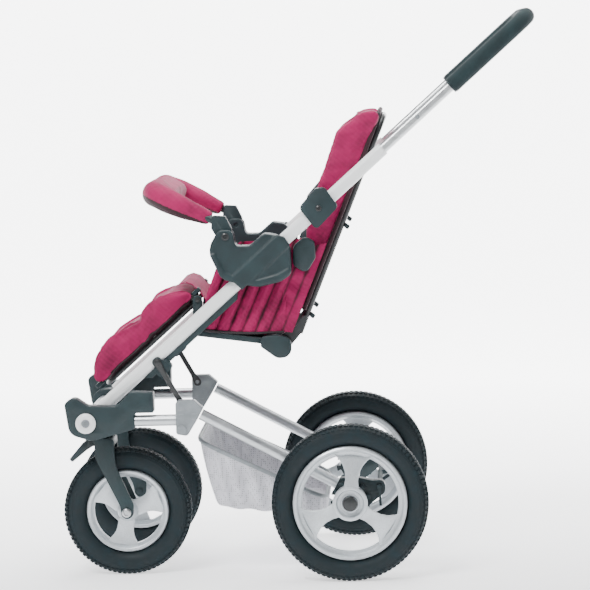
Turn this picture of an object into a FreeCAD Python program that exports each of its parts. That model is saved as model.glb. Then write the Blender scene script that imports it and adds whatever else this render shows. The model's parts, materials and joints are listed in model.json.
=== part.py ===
"""Four-wheeled stroller with a folding chassis and a lift-off reclining seat, as a parametric document.

The stroller faces -X, +Z is up and the floor is z = 0. Side views below are drawn in X and Z with X counted
from the rear axle; pieces on the push bars are drawn in bar coordinates: u runs up along the bar from the
front pivot, v is square to it and points up. Lengths are in millimetres, angles in degrees.
"""

import FreeCAD, Part
import math
import os
from FreeCAD import Placement, Rotation, Vector

SIZES = [
    ("rear_axle_x", 98.5, "rear axle, from the middle of the overall length"),
    ("rear_radius", 153.0, "12 inch tyre, outer radius"),
    ("rear_rim_radius", 112.0, "outer radius of the rear rim"),
    ("rear_half_track", 280.0, "middle of a rear wheel, from the middle plane"),
    ("rear_tyre_width", 50.0, "width of a rear tyre"),
    ("front_radius", 127.0, "10 inch tyre, outer radius"),
    ("front_rim_radius", 82.0, "outer radius of the front rim"),
    ("front_half_track", 149.0, "middle of a front wheel, from the middle plane"),
    ("front_tyre_width", 46.0, "width of a front tyre"),
    ("wheelbase", 445.0, "front axle to rear axle"),
    ("trail", 44.0, "swivel axis to front axle"),
    ("pivot_back", 515.0, "rear axle to the push bar pivot"),
    ("pivot_height", 313.0, "push bar pivot above the floor"),
    ("bar_angle", 41.3, "slope of the push bars"),
    ("bar_half_track", 195.0, "middle of a push bar, from the middle plane"),
    ("bar_depth", 26.0, "push bar section, square to the bar in side view"),
    ("bar_width", 20.0, "push bar section, across the stroller"),
    ("bar_start", 25.0, "lower end of the push bar tube, along the bar"),
    ("bar_end", 788.0, "upper end of the push bar tube, along the bar"),
    ("bar_wall", 1.8, "wall of the push bar tube"),
    ("inner_depth", 20.0, "handle tube section, square to the bar"),
    ("inner_width", 14.0, "handle tube section, across"),
    ("inner_start", 640.0, "lower end of the handle tube, along the bar"),
    ("handle_end", 1170.0, "middle of the handle crossbar, along the bar"),
    ("handle_corner", 46.0, "bend radius of the handle tube"),
    ("grip_start", 972.0, "lower end of the foam grip, along the bar"),
    ("grip_radius", 16.5, "outer radius of the foam grip"),
    ("cross_radius", 13.0, "outer radius of the front cross tube"),
    ("cross_length", 484.0, "length of the front cross tube"),
    ("rail_half_track", 230.0, "middle of a side rail, from the middle plane"),
    ("rail_radius", 11.0, "outer radius of the side rails and front beams"),
    ("knuckle_width", 34.0, "front knuckle, across"),
    ("head_width", 42.0, "steering head, across"),
    ("stem_radius", 8.0, "radius of the fork's swivel stem"),
    ("axle_radius", 6.0, "radius of the wheel axles"),
    ("axle_tube_radius", 12.0, "outer radius of the rear axle tube"),
    ("axle_tube_length", 432.0, "length of the rear axle tube"),
    ("carrier_width", 28.0, "rear axle carrier, across"),
    ("strut_width", 4.0, "thickness of a fold strut"),
    ("bracket_inside", 168.0, "inner face of a seat bracket, from the middle plane"),
    ("bracket_width", 49.0, "seat bracket, across"),
    ("seat_half_width", 166.0, "half width of the seat base"),
    ("seat_board", 10.0, "thickness of the seat base board"),
    ("cushion_width", 292.0, "width of the seat cushion"),
    ("back_angle", 67.5, "slope of the backrest"),
    ("back_half_width", 160.0, "half width of the backrest cushion"),
    ("bumper_radius", 8.0, "outer radius of the bumper bar tube"),
    ("cover_radius", 24.0, "outer radius of the padded bumper cover"),
    ("legrest_width", 292.0, "width of the leg rest pad"),
    ("pin_radius", 4.0, "radius of the small hinge pins"),
    ("running", 0.05, "radial clearance of a running fit"),
    ("gap", 0.4, "clearance between sliding or neighbouring pieces"),
]

SIDES = (("left", -1), ("right", 1))

doc = FreeCAD.newDocument("stroller")
sheet = doc.addObject("Spreadsheet::Sheet", "Sizes")
for row, (alias, value, note) in enumerate(SIZES, 1):
    sheet.set(f"A{row}", note)
    sheet.set(f"B{row}", str(value))
    sheet.setAlias(f"B{row}", alias)
doc.recompute()

nodes = []


def size(alias):
    """A driving dimension, read from the sheet."""
    return float(sheet.get(alias))


PIVOT = Vector(size("rear_axle_x") - size("pivot_back"), 0, size("pivot_height"))
FROM_AXLE = Placement(Vector(size("rear_axle_x"), 0, 0), Rotation())
ON_BAR = Placement(PIVOT, Rotation(Vector(0, 1, 0), -size("bar_angle")))
PIVOT_X = -size("pivot_back")
PIVOT_Z = size("pivot_height")
SWIVEL_X = -size("wheelbase") - size("trail")
BACK_HINGE = (-133.0, 449.0)
BUMPER_HINGE = (-233.0, 671.0)
STRUT_FOOT = (-326.0, 341.0)
RAIL_TOP = Vector(-289.0, 0, 325.4)
RAIL_END = Vector(-26.0, 0, 183.4)


# --- building blocks ---------------------------------------------------------------------------------


def keep(shape_object, label):
    """Names a sub-part and lists it for export. A building step that held the name gives it up."""
    for step in doc.getObjectsByLabel(label):
        step.Label = label + "_step"
    shape_object.Label = label
    nodes.append(shape_object)
    return shape_object


def rounded(corners):
    """Lines and arcs of a closed outline whose corners are (x, y, corner radius).
    A radius too large for its neighbours is made smaller."""
    count = len(corners)
    points = [Vector(x, y, 0) for x, y, radius in corners]
    to_last = [(points[i - 1] - points[i]).normalize() for i in range(count)]
    to_next = [(points[(i + 1) % count] - points[i]).normalize() for i in range(count)]
    half = [a.getAngle(b) / 2 for a, b in zip(to_last, to_next)]
    reach = [corners[i][2] / math.tan(half[i]) for i in range(count)]
    room = [1.0] * count
    for i in range(count):
        j = (i + 1) % count
        share = (points[j] - points[i]).Length * 0.99 / max(reach[i] + reach[j], 1e-9)
        room[i] = min(room[i], share)
        room[j] = min(room[j], share)
    edges, starts, ends = [], [], []
    for i in range(count):
        run = reach[i] * room[i]
        starts.append(points[i] + to_last[i] * run)
        ends.append(points[i] + to_next[i] * run)
    for i in range(count):
        if (ends[i] - starts[i]).Length > 1e-4:
            radius = reach[i] * room[i] * math.tan(half[i])
            inward = (to_last[i] + to_next[i]).normalize()
            middle = points[i] + inward * (radius / math.sin(half[i]) - radius)
            edges.append(Part.Arc(starts[i], middle, ends[i]))
        edges.append(Part.LineSegment(ends[i], starts[(i + 1) % count]))
    return edges


def round_hole(x, y, radius):
    return Part.Circle(Vector(x, y, 0), Vector(0, 0, 1), radius)


def origin_plane(body, role):
    return next(f for f in body.Origin.OriginFeatures if f.Role == role)


def sketch_on(body, role, offset=0.0):
    """A sketch on one of the body's own planes, moved off it along the plane's normal."""
    sketch = body.newObject("Sketcher::SketchObject", body.Name + "_sketch")
    sketch.AttachmentSupport = [(origin_plane(body, role), "")]
    sketch.MapMode = "FlatFace"
    sketch.AttachmentOffset = Placement(Vector(0, 0, offset), Rotation())
    return sketch


def new_body(name, placement=None):
    body = doc.addObject("PartDesign::Body", name)
    body.Label = name
    body.Placement = placement or Placement()
    return body


def pad(body, edges, width, middle=0.0, role="XZ_Plane"):
    """Pads an outline to both sides of a plane. Width is a number or a formula on the sheet's cells.
    On the XZ plane, middle is counted towards +Y."""
    sketch = sketch_on(body, role, -middle if role == "XZ_Plane" else middle)
    sketch.addGeometry(edges, False)
    feature = body.newObject("PartDesign::Pad", body.Name + "_pad")
    feature.Profile = sketch
    feature.Midplane = True
    if isinstance(width, str):
        feature.setExpression("Length", width)
    else:
        feature.Length = width
    body.Tip = feature
    return feature


def plate(name, corners, width, middle, placement=None, holes=()):
    """A body cut from a plate that stands in the side view."""
    body = new_body(name, placement)
    edges = rounded(corners) + [round_hole(*hole) for hole in holes]
    pad(body, edges, width, middle)
    return body


def box_at(name, low, high, placement=None):
    block = doc.addObject("Part::Box", name)
    block.Length = high[0] - low[0]
    block.Width = high[1] - low[1]
    block.Height = high[2] - low[2]
    block.Placement = (placement or Placement()).multiply(Placement(Vector(*low), Rotation()))
    return block


def cut(base, *tools):
    result = base
    for tool in tools:
        step = doc.addObject("Part::Cut", base.Name + "_cut")
        step.Base = result
        step.Tool = tool
        result = step
    return result


def fuse(*pieces):
    joined = doc.addObject("Part::MultiFuse", pieces[0].Name + "_joined")
    joined.Shapes = list(pieces)
    joined.Refine = True
    return joined


def group(label, pieces):
    """One node that holds several separate solids."""
    together = doc.addObject("Part::Compound", label)
    together.Links = list(pieces)
    return keep(together, label)


def cross_rod(name, radius, start, end, x, z, placement=None):
    """A round rod along Y from start to end. Radius is a number or a formula on the sheet's cells."""
    rod = doc.addObject("Part::Cylinder", name)
    if isinstance(radius, str):
        rod.setExpression("Radius", radius)
    else:
        rod.Radius = radius
    rod.Height = end - start
    lying = Placement(Vector(x, start, z), Rotation(Vector(1, 0, 0), -90))
    rod.Placement = (placement or Placement()).multiply(lying)
    return rod


def upright_rod(name, radius, x, y, low, high, placement=None):
    rod = doc.addObject("Part::Cylinder", name)
    if isinstance(radius, str):
        rod.setExpression("Radius", radius)
    else:
        rod.Radius = radius
    rod.Height = high - low
    rod.Placement = (placement or Placement()).multiply(Placement(Vector(x, y, low), Rotation()))
    return rod


def turned(name, corners, x, y, z):
    """A ring turned about the Y direction. Corners are (radius, y, corner radius) about the point given."""
    body = new_body(name, Placement(Vector(x, y, z), Rotation()))
    sketch = sketch_on(body, "XY_Plane")
    sketch.addGeometry(rounded(corners), False)
    feature = body.newObject("PartDesign::Revolution", body.Name + "_turned")
    feature.Profile = sketch
    feature.ReferenceAxis = (sketch, ["V_Axis"])
    feature.Angle = 360
    body.Tip = feature
    return body


def straight_tube(name, radius, wall, start, end, placement=None):
    """A round tube between two points."""
    axis = Vector(*end) - Vector(*start)
    outer = doc.addObject("Part::Cylinder", name)
    inner = doc.addObject("Part::Cylinder", name + "_inside")
    turn = Placement(Vector(*start), Rotation(Vector(0, 0, 1), axis))
    for cylinder, formula in ((outer, radius), (inner, f"{radius} - {wall}")):
        cylinder.setExpression("Radius", formula)
        cylinder.Height = axis.Length
        cylinder.Placement = (placement or Placement()).multiply(turn)
    return cut(outer, inner)


def bent_path(points, radius):
    """A wire of straight runs joined by arcs of one radius, open at both ends."""
    knots = [Vector(*p) for p in points]
    edges, last = [], knots[0]
    for before, corner, after in zip(knots, knots[1:], knots[2:]):
        a = (before - corner).normalize()
        b = (after - corner).normalize()
        half = a.getAngle(b) / 2
        start = corner + a * (radius / math.tan(half))
        end = corner + b * (radius / math.tan(half))
        middle = corner + (a + b).normalize() * (radius / math.sin(half) - radius)
        if (start - last).Length > 1e-6:
            edges.append(Part.LineSegment(last, start).toShape())
        edges.append(Part.Arc(start, middle, end).toShape())
        last = end
    edges.append(Part.LineSegment(last, knots[-1]).toShape())
    return Part.Wire(edges)


def slot_wire(depth, width):
    """A flat oval in the XY plane: depth along X, width along Y."""
    corners = ((-1, -1), (1, -1), (1, 1), (-1, 1))
    edges = rounded([(sx * depth / 2, sy * width / 2, width / 2 - 0.01) for sx, sy in corners])
    return Part.Wire([e.toShape() for e in edges])


def ring_wire(radius):
    return Part.Wire([Part.Circle(Vector(0, 0, 0), Vector(0, 0, 1), radius).toShape()])


def swept(path, section, upright=Vector(0, 0, 1)):
    """Sweeps a section, drawn in the XY plane, along a wire. The section's X side stays along upright."""
    first = path.Edges[0]
    at = first.valueAt(first.FirstParameter)
    along = first.tangentAt(first.FirstParameter)
    across = along.cross(upright).normalize()
    placed = section.copy()
    placed.Placement = Placement(at, Rotation(along.cross(across) * -1, across * -1, along, "XYZ"))
    return path.makePipeShell([placed], True, True)


def shaped(name, shape, placement=None):
    feature = doc.addObject("Part::Feature", name)
    feature.Shape = shape
    feature.Placement = placement or Placement()
    return feature


# --- wheels ------------------------------------------------------------------------------------------


def tyre(label, radius, rim_radius, width, x, y, z):
    """An air tyre: round shoulders, a flattened tread and a hollow inside."""
    half = width / 2
    crown = radius - 6
    outside = [
        (rim_radius, -half + 8, 1.5), (rim_radius + 6, -half + 1, 4), (crown - 12, -half, 12),
        (crown, -half + 7, 6),
        (radius, -half + 16, 8), (radius, half - 16, 8), (crown, half - 7, 6), (crown - 12, half, 12),
        (rim_radius + 6, half - 1, 4), (rim_radius, half - 8, 1.5), (rim_radius, 7, 1),
        (rim_radius + 5, 6, 2),
        (rim_radius + 8, half - 7, 5), (radius - 12, half - 7, 9), (radius - 12, 7 - half, 9),
        (rim_radius + 8, 7 - half, 5), (rim_radius + 5, -6, 2), (rim_radius, -7, 1),
    ]
    return keep(turned(label, outside, x, y, z), label)


def rim(label, radius, hub_radius, width, spoke_width, first_spoke, outer_side, x, y, z):
    """A cast rim: channel for the tyre, a hub with a bore, and three broad spokes near the outer face."""
    bore = size("axle_radius") + size("running")
    half = width / 2
    hub_half = width / 2 - 1
    lip = radius - 9
    channel = turned(label, [
        (radius - 0.2, -half + 8.5, 1), (radius - 0.2, half - 8.5, 1), (radius - 2.5, half - 4, 1.5),
        (lip + 1, half - 6, 2),
        (lip - 5, half - 14, 2), (lip - 5, 14 - half, 2), (lip + 1, 6 - half, 2),
        (radius - 2.5, 4 - half, 1.5),
    ], x, y, z)
    hub = turned(label + "_hub", [
        (bore, -hub_half, 0), (hub_radius - 6, -hub_half, 2), (hub_radius, -hub_half + 10, 3),
        (hub_radius, hub_half - 6, 3), (hub_radius - 5, hub_half, 2), (bore, hub_half, 0),
    ], x, y, z)
    spokes = []
    reach = lip - 3
    root = hub_radius - 4
    for k in range(3):
        turn = Rotation(Vector(0, 1, 0), -(first_spoke + 120 * k))
        spoke = new_body(f"{label}_spoke{k}", Placement(Vector(x, y, z), turn))
        waist = spoke_width * 0.36
        flare = spoke_width * 0.72
        pad(spoke, rounded([
            (root, -waist, 0), (reach * 0.62, -waist, 40), (reach * 0.97, -flare, 0),
            (reach * 0.97, flare, 0), (reach * 0.62, waist, 40), (root, waist, 0),
        ]), 12.0, outer_side * (half - 17))
        spokes.append(spoke)
    return keep(fuse(channel, hub, *spokes), label)


def rear_wheels():
    for side, sign in SIDES:
        x = size("rear_axle_x")
        y = sign * size("rear_half_track")
        z = size("rear_radius")
        tyre(f"rear_tyre_{side}", z, size("rear_rim_radius"), size("rear_tyre_width"), x, y, z)
        rim(f"rear_rim_{side}", size("rear_rim_radius"), 33.0, size("rear_tyre_width"), 56.0, 205.0, sign,
            x, y, z)
        brake_ring(f"brake_ring_{side}", x, sign * (size("rear_half_track") - 28.5), z)


def brake_ring(label, x, y, z):
    """A ring on the wheel's inner face with notches for the brake pawl."""
    bore = size("axle_radius") + 1
    outer, floor, notches = 39.0, 31.0, 10
    ring = new_body(label, Placement(Vector(x, y, z), Rotation()))
    pad(ring, [round_hole(0, 0, outer), round_hole(0, 0, bore)], 9.0)
    tools = []
    for k in range(notches):
        turn = Rotation(Vector(0, 1, 0), 8.0 - 360.0 * k / notches)
        tools.append(box_at(f"{label}_notch{k}", (floor, -6, -6.3), (outer + 2, 6, 6.3),
                            Placement(Vector(x, y, z), turn)))
    return keep(cut(ring, fuse(*tools)), label)


def front_wheels():
    for side, sign in SIDES:
        x = size("rear_axle_x") - size("wheelbase")
        y = sign * size("front_half_track")
        z = size("front_radius")
        tyre(f"front_tyre_{side}", z, size("front_rim_radius"), size("front_tyre_width"), x, y, z)
        rim(f"front_rim_{side}", size("front_rim_radius"), 21.0, size("front_tyre_width"), 44.0, 20.0, sign,
            x, y, z)


def forks():
    """Swivel forks that trail their wheels, each with an axle bolt, and the levers that lock them straight."""
    axle_x, axle_z = -size("wheelbase"), size("front_radius")
    leg_inside = size("front_tyre_width") / 2 + 9
    for side, sign in SIDES:
        middle = sign * size("front_half_track")
        pieces = []
        for k in (-1, 1):
            pieces.append(plate(f"fork_{side}_leg{k + 1}", [
                (SWIVEL_X - 15, 275, 6), (SWIVEL_X - 17, 240, 40), (axle_x - 13, axle_z + 14, 30),
                (axle_x - 9, axle_z - 14, 12),
                (axle_x + 13, axle_z - 11, 13), (axle_x + 14, axle_z + 16, 24), (SWIVEL_X + 24, 222, 60),
                (SWIVEL_X + 22, 275, 6),
            ], 7.0, middle + k * (leg_inside + 3.5), FROM_AXLE,
            holes=[(axle_x, axle_z, size("axle_radius"))]))
        crown = plate(f"fork_{side}_crown", [
            (SWIVEL_X - 15.5, 258, 3), (SWIVEL_X + 24, 258, 5), (SWIVEL_X + 22, 275, 6),
            (SWIVEL_X - 15.5, 275, 3),
        ], 2 * leg_inside + 2, middle, FROM_AXLE)
        stem = upright_rod(f"fork_{side}_stem", "Sizes.stem_radius", SWIVEL_X, middle, 270, 299, FROM_AXLE)
        ears = [plate(f"fork_{side}_ear{k + 1}", [
            (SWIVEL_X - 32, 258, 6), (SWIVEL_X - 12, 258, 0), (SWIVEL_X - 12, 275, 0),
            (SWIVEL_X - 32, 275, 6),
        ], 4.0, middle + k * 13, FROM_AXLE, holes=[(SWIVEL_X - 24, 266.5, 3 + size("running"))])
        for k in (-1, 1)]
        fork = fuse(*pieces, crown, stem, *ears)
        bolt = cross_rod(f"fork_{side}_axle", "Sizes.axle_radius", middle - leg_inside - 9,
                         middle + leg_inside + 9,
                         axle_x, axle_z, FROM_AXLE)
        hub_face = size("front_tyre_width") / 2 - 1
        spacers = [cross_rod(f"fork_{side}_spacer{k + 1}", 10.0,
                             *sorted((middle + k * (hub_face + 0.3), middle + k * leg_inside)),
                             axle_x, axle_z, FROM_AXLE) for k in (-1, 1)]
        group(f"fork_{side}", [fork, fuse(bolt, *spacers)])
        lever = plate(f"swivel_lock_{side}_paddle", [
            (SWIVEL_X - 17.5, 273, 6), (SWIVEL_X - 17.5, 260, 6), (SWIVEL_X - 34, 250, 10),
            (SWIVEL_X - 64, 226, 3),
            (SWIVEL_X - 70, 232, 3), (SWIVEL_X - 44, 262, 12), (SWIVEL_X - 30, 273, 6),
        ], 20.0, middle, FROM_AXLE)
        pin = cross_rod(f"swivel_lock_{side}_pin", 3.0, middle - 14.5, middle + 14.5, SWIVEL_X - 24, 266.5,
                        FROM_AXLE)
        keep(fuse(lever, pin), f"swivel_lock_{side}")


# --- chassis -----------------------------------------------------------------------------------------


def front_end():
    """Cross tube, steering heads, knuckles that carry the beams, and the round end caps."""
    cross = size("cross_radius")
    half = size("cross_length") / 2
    outer = cross_rod("front_cross_tube", "Sizes.cross_radius", -half, half, 0, 0, ON_BAR)
    inner = cross_rod("front_cross_bore", "Sizes.cross_radius - 2", -half, half, 0, 0, ON_BAR)
    keep(cut(outer, inner), "front_cross_tube")
    heads, caps = [], []
    for side, sign in SIDES:
        middle = sign * size("front_half_track")
        head = plate(f"steering_head_{side}", [
            (PIVOT_X - 24, PIVOT_Z - 20, 20), (SWIVEL_X - 14, 276.5, 5), (SWIVEL_X + 20, 276.5, 6),
            (SWIVEL_X + 20, PIVOT_Z + 4, 10), (PIVOT_X + 14, PIVOT_Z + 26, 18),
            (PIVOT_X - 24, PIVOT_Z + 22, 22),
        ], "Sizes.head_width", middle, FROM_AXLE, holes=[(PIVOT_X, PIVOT_Z, cross)])
        bore = upright_rod(f"steering_head_{side}_bore", "Sizes.stem_radius + Sizes.running", SWIVEL_X,
                           middle, 270, 299.5, FROM_AXLE)
        heads.append(cut(head, bore))
        keep(plate(f"front_knuckle_{side}", [
            (PIVOT_X - 33, PIVOT_Z - 22, 24), (PIVOT_X + 12, PIVOT_Z - 36, 22),
            (PIVOT_X + 48, PIVOT_Z - 26, 10),
            (PIVOT_X + 96, PIVOT_Z - 14, 6), (PIVOT_X + 96, PIVOT_Z + 18, 4),
            (PIVOT_X + 134, PIVOT_Z + 18, 4),
            (PIVOT_X + 134, PIVOT_Z + 58, 5), (PIVOT_X + 88, PIVOT_Z + 60, 8),
            (PIVOT_X + 62, PIVOT_Z + 32, 14),
            (PIVOT_X + 4, PIVOT_Z + 34, 16), (PIVOT_X - 22, PIVOT_Z + 52, 14),
            (PIVOT_X - 42, PIVOT_Z + 40, 10),
        ], "Sizes.knuckle_width", sign * (208 + size("knuckle_width") / 2), FROM_AXLE,
            holes=[(PIVOT_X, PIVOT_Z, cross)]), f"front_knuckle_{side}")
        face = sign * half
        caps.append(turned(f"pivot_cap_{side}", [
            (0.01, face, 0), (20, face, 1.5), (20, face + sign * 4, 2), (14, face + sign * 6.5, 2),
            (8.5, face + sign * 5, 1), (8, face + sign * 3, 0.5), (0.01, face + sign * 3, 0),
        ], PIVOT.x, 0, PIVOT_Z))
    group("steering_heads", heads)
    group("pivot_caps", caps)


def rails():
    """Front beams, the brackets that join them to the side rails, and the rails down to the rear axle."""
    beams, brackets = [], []
    beam_z, foot_x, foot_z = PIVOT_Z + 2, STRUT_FOOT[0], STRUT_FOOT[1]
    for side, sign in SIDES:
        y = sign * size("rail_half_track")
        beams.append(straight_tube(f"front_beam_{side}", "Sizes.rail_radius", "1.5",
                                   (PIVOT_X + 96, y, beam_z), (foot_x - 12, y, beam_z), FROM_AXLE))
        bracket = plate(f"rail_bracket_{side}_block", [
            (foot_x - 12, 288, 6), (foot_x + 10, 284, 8), (foot_x + 30, 316, 6),
            (foot_x + 30 * 1.4, 338, 3),
            (foot_x + 24, 354, 5), (foot_x - 12, 354, 8),
        ], 26.0, y, FROM_AXLE)
        low, high = sorted((sign * 209.0, sign * 217.5))
        pin = cross_rod(f"rail_bracket_{side}_pin", "Sizes.pin_radius", low, high, foot_x, foot_z,
                        FROM_AXLE)
        low, high = sorted((sign * 242.5, sign * 251.0))
        knob = cross_rod(f"rail_bracket_{side}_knob", 9.0, low, high, foot_x, 297.0, FROM_AXLE)
        brackets.append(fuse(bracket, pin, knob))
        rail = straight_tube(f"side_rail_{side}", "Sizes.rail_radius", "1.5",
                             (RAIL_TOP.x, y, RAIL_TOP.z), (RAIL_END.x, y, RAIL_END.z), FROM_AXLE)
        keep(rail, f"side_rail_{side}")
    group("front_beams", beams)
    group("rail_brackets", brackets)


def rear_end():
    """Rear axle tube, the carriers at its ends, and the stub axles of the wheels."""
    half = size("axle_tube_length") / 2
    z = size("rear_radius")
    outer = cross_rod("rear_axle_tube", "Sizes.axle_tube_radius", -half, half, 0, z, FROM_AXLE)
    inner = cross_rod("rear_axle_bore", "Sizes.axle_tube_radius - 2", -half, half, 0, z, FROM_AXLE)
    keep(cut(outer, inner), "rear_axle_tube")
    carriers, stubs = [], []
    slope = (RAIL_END - RAIL_TOP).normalize()
    below, above = ((RAIL_END.x + k * slope.z, RAIL_END.z - k * slope.x) for k in (13, -13))
    for side, sign in SIDES:
        middle = sign * (half + size("carrier_width") / 2)
        carriers.append(plate(f"rear_carrier_{side}", [
            (*below, 0), (-18, 128, 14), (20, 128, 16), (68, 166, 11), (68, 190, 11), (44, 189, 8),
            (12, 196, 10), (*above, 0),
        ], "Sizes.carrier_width", middle, FROM_AXLE,
        holes=[(0, z, size("axle_radius")), (57, 177, 5 + size("running"))]))
        low, high = sorted((sign * half, sign * (size("rear_half_track") + 26)))
        stubs.append(cross_rod(f"stub_axle_{side}", "Sizes.axle_radius", low, high, 0, z, FROM_AXLE))
        low, high = sorted((sign * (size("rear_half_track") + 24.5), sign * (size("rear_half_track") + 31)))
        stubs.append(cross_rod(f"hub_cap_{side}", 14.0, low, high, 0, z, FROM_AXLE))
    group("rear_carriers", carriers)
    group("stub_axles", [fuse(stubs[0], stubs[1]), fuse(stubs[2], stubs[3])])


def brake():
    """A cross shaft with a foot pedal; a pawl at each end drops into the brake ring with the pedal down."""
    ring = size("rear_half_track") - 30
    shaft = cross_rod("brake_pedal_shaft", 5.0, -ring - 2.5, ring + 2.5, 57, 177, FROM_AXLE)
    pedal = plate("brake_pedal_plate", [
        (52, 172.5, 3), (78, 176, 6), (104, 190, 4), (102, 197, 3), (74, 183, 6), (52, 181.5, 3)], 96.0, 0,
        FROM_AXLE)
    pawls = []
    for side, sign in SIDES:
        turn = Placement(Vector(57, 0, 177), Rotation(Vector(0, 1, 0), -272.4))
        pawls.append(box_at(f"brake_pawl_{side}", (0, sign * ring - 2.5, -2.5),
                            (36.3, sign * ring + 2.5, 2.5),
                            FROM_AXLE.multiply(turn)))
    keep(fuse(shaft, pedal, *pawls), "brake_pedal")


def basket():
    """An open mesh basket slung between the side rails, its rim parallel to them."""
    outline = [(-304, 276, 6), (-46, 148, 6), (-46, 106, 14), (-160, 110, 40), (-272, 130, 12)]
    inside = [(-299, 290, 0), (-40, 164, 0), (-50, 146, 0), (-50, 110, 12), (-160, 114, 38),
              (-268.5, 133.5, 10)]
    shell = plate("basket_shell", outline, 396.0, 0, FROM_AXLE)
    room = plate("basket_room", inside, 388.0, 0, FROM_AXLE)
    keep(cut(shell, room), "basket")


# --- push bars and handle ----------------------------------------------------------------------------


def oval(depth, width, wall, start, end, y):
    """A straight flat-oval tube along the bar."""
    solid = oval_rod(depth, width, start, end, y)
    if wall * 2 >= width:
        return solid
    return solid.cut(oval_rod(depth - 2 * wall, width - 2 * wall, start - 1, end + 1, y))


def oval_rod(depth, width, start, end, y):
    face = Part.Face(slot_wire(depth, width))
    face.Placement = Placement(Vector(start, y, 0),
                               Rotation(Vector(0, 0, -1), Vector(0, 1, 0), Vector(1, 0, 0), "XYZ"))
    return face.extrude(Vector(end - start, 0, 0))


def push_bars():
    """The two white push bars with heels on the cross tube, tracks underneath and guide bushes on top."""
    depth, width, wall = size("bar_depth"), size("bar_width"), size("bar_wall")
    heels, tracks, bushes = [], [], []
    for side, sign in SIDES:
        y = sign * size("bar_half_track")
        tube = oval(depth, width, wall, size("bar_start"), size("bar_end"), y)
        keep(shaped(f"push_bar_{side}", tube, ON_BAR), f"push_bar_{side}")
        heels.append(plate(f"bar_heel_{side}", [
            (-22, -22, 21), (size("bar_start"), -20, 5), (size("bar_start"), 20, 5), (-22, 22, 21),
        ], size("bar_width") + 4, y, ON_BAR, holes=[(0, 0, size("cross_radius") + size("running"))]))
        tracks.append(plate(f"fold_track_{side}", [
            (140, -depth / 2, 0), (152, -24, 6), (380, -24, 6), (392, -depth / 2, 0)], 10.0, y, ON_BAR))
        inner_depth, inner_width = size("inner_depth"), size("inner_width")
        top = size("bar_end")
        sleeve = oval_rod(depth - 2 * wall, width - 2 * wall, top - 32, top, y)
        flange = oval_rod(depth, width, top, top + 3, y)
        room = oval_rod(inner_depth + 0.3, inner_width + 0.3, top - 40, top + 10, y)
        bushes.append(shaped(f"guide_bush_{side}", sleeve.fuse(flange).cut(room), ON_BAR))
    group("bar_heels", heels)
    group("fold_tracks", tracks)
    group("guide_bushes", bushes)


def fold_gear():
    """Sliders that run on the tracks, the struts they lean on, and the collars that let the bars fold."""
    sliders, struts = [], []
    gap, depth = size("gap"), size("bar_depth")
    foot = Vector(STRUT_FOOT[0], 0, STRUT_FOOT[1])
    head_u, head_v = 181.3, -8.8
    angle = math.radians(size("bar_angle"))
    head = Vector(PIVOT_X + head_u * math.cos(angle) - head_v * math.sin(angle), 0,
                  PIVOT_Z + head_u * math.sin(angle) + head_v * math.cos(angle))
    along = head - foot
    for side, sign in SIDES:
        y = sign * size("bar_half_track")
        block = plate(f"fold_slider_{side}_block", [
            (head_u - 17, -depth / 2 - gap, 3), (head_u - 17, -36, 8), (head_u + 17, -36, 8),
            (head_u + 17, -depth / 2 - gap, 3),
        ], 24.0, y, ON_BAR)
        block = cut(block, box_at(f"fold_slider_{side}_room", (head_u - 20, y - 5.4, -24.4),
                                  (head_u + 20, y + 5.4, 0), ON_BAR))
        ear = plate(f"fold_slider_{side}_ear", [
            (head_u - 12, -30, 3), (head_u + 12, -30, 3), (head_u + 9, 2, 8), (head_u - 9, 2, 8),
        ], 2.4, sign * (size("bar_half_track") + size("bar_width") / 2 + gap + 1.2), ON_BAR)
        sliders.append(fuse(block, ear))
        turn = Rotation(Vector(0, 1, 0), -math.degrees(math.atan2(along.z, along.x)))
        strut = plate(f"fold_strut_{side}", [
            (-9, -9, 9), (20, -5, 20), (along.Length - 20, -5, 20), (along.Length + 9, -9, 9),
            (along.Length + 9, 9, 9), (along.Length - 20, 5, 20), (20, 5, 20), (-9, 9, 9),
        ], "Sizes.strut_width", sign * 211.4, FROM_AXLE.multiply(Placement(foot, turn)),
        holes=[(0, 0, size("pin_radius") + size("running"))])
        low, high = sorted((sign * 213.4, sign * 215.4))
        rivet = cross_rod(f"fold_strut_{side}_rivet", 6.0, low, high, head.x, head.z, FROM_AXLE)
        struts.append(fuse(strut, rivet))
        collar = plate(f"fold_collar_{side}_body", [
            (588, -28, 8), (650, -24, 10), (656, 22, 12), (640, 33, 6), (592, 27, 10)], 38.0, y, ON_BAR)
        room = oval(depth + 2 * gap, size("bar_width") + 2 * gap, 20, 580, 665, y)
        keep(cut(collar, shaped(f"fold_collar_{side}_room", room, ON_BAR)), f"fold_collar_{side}")
    group("fold_sliders", sliders)
    group("fold_struts", struts)


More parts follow.
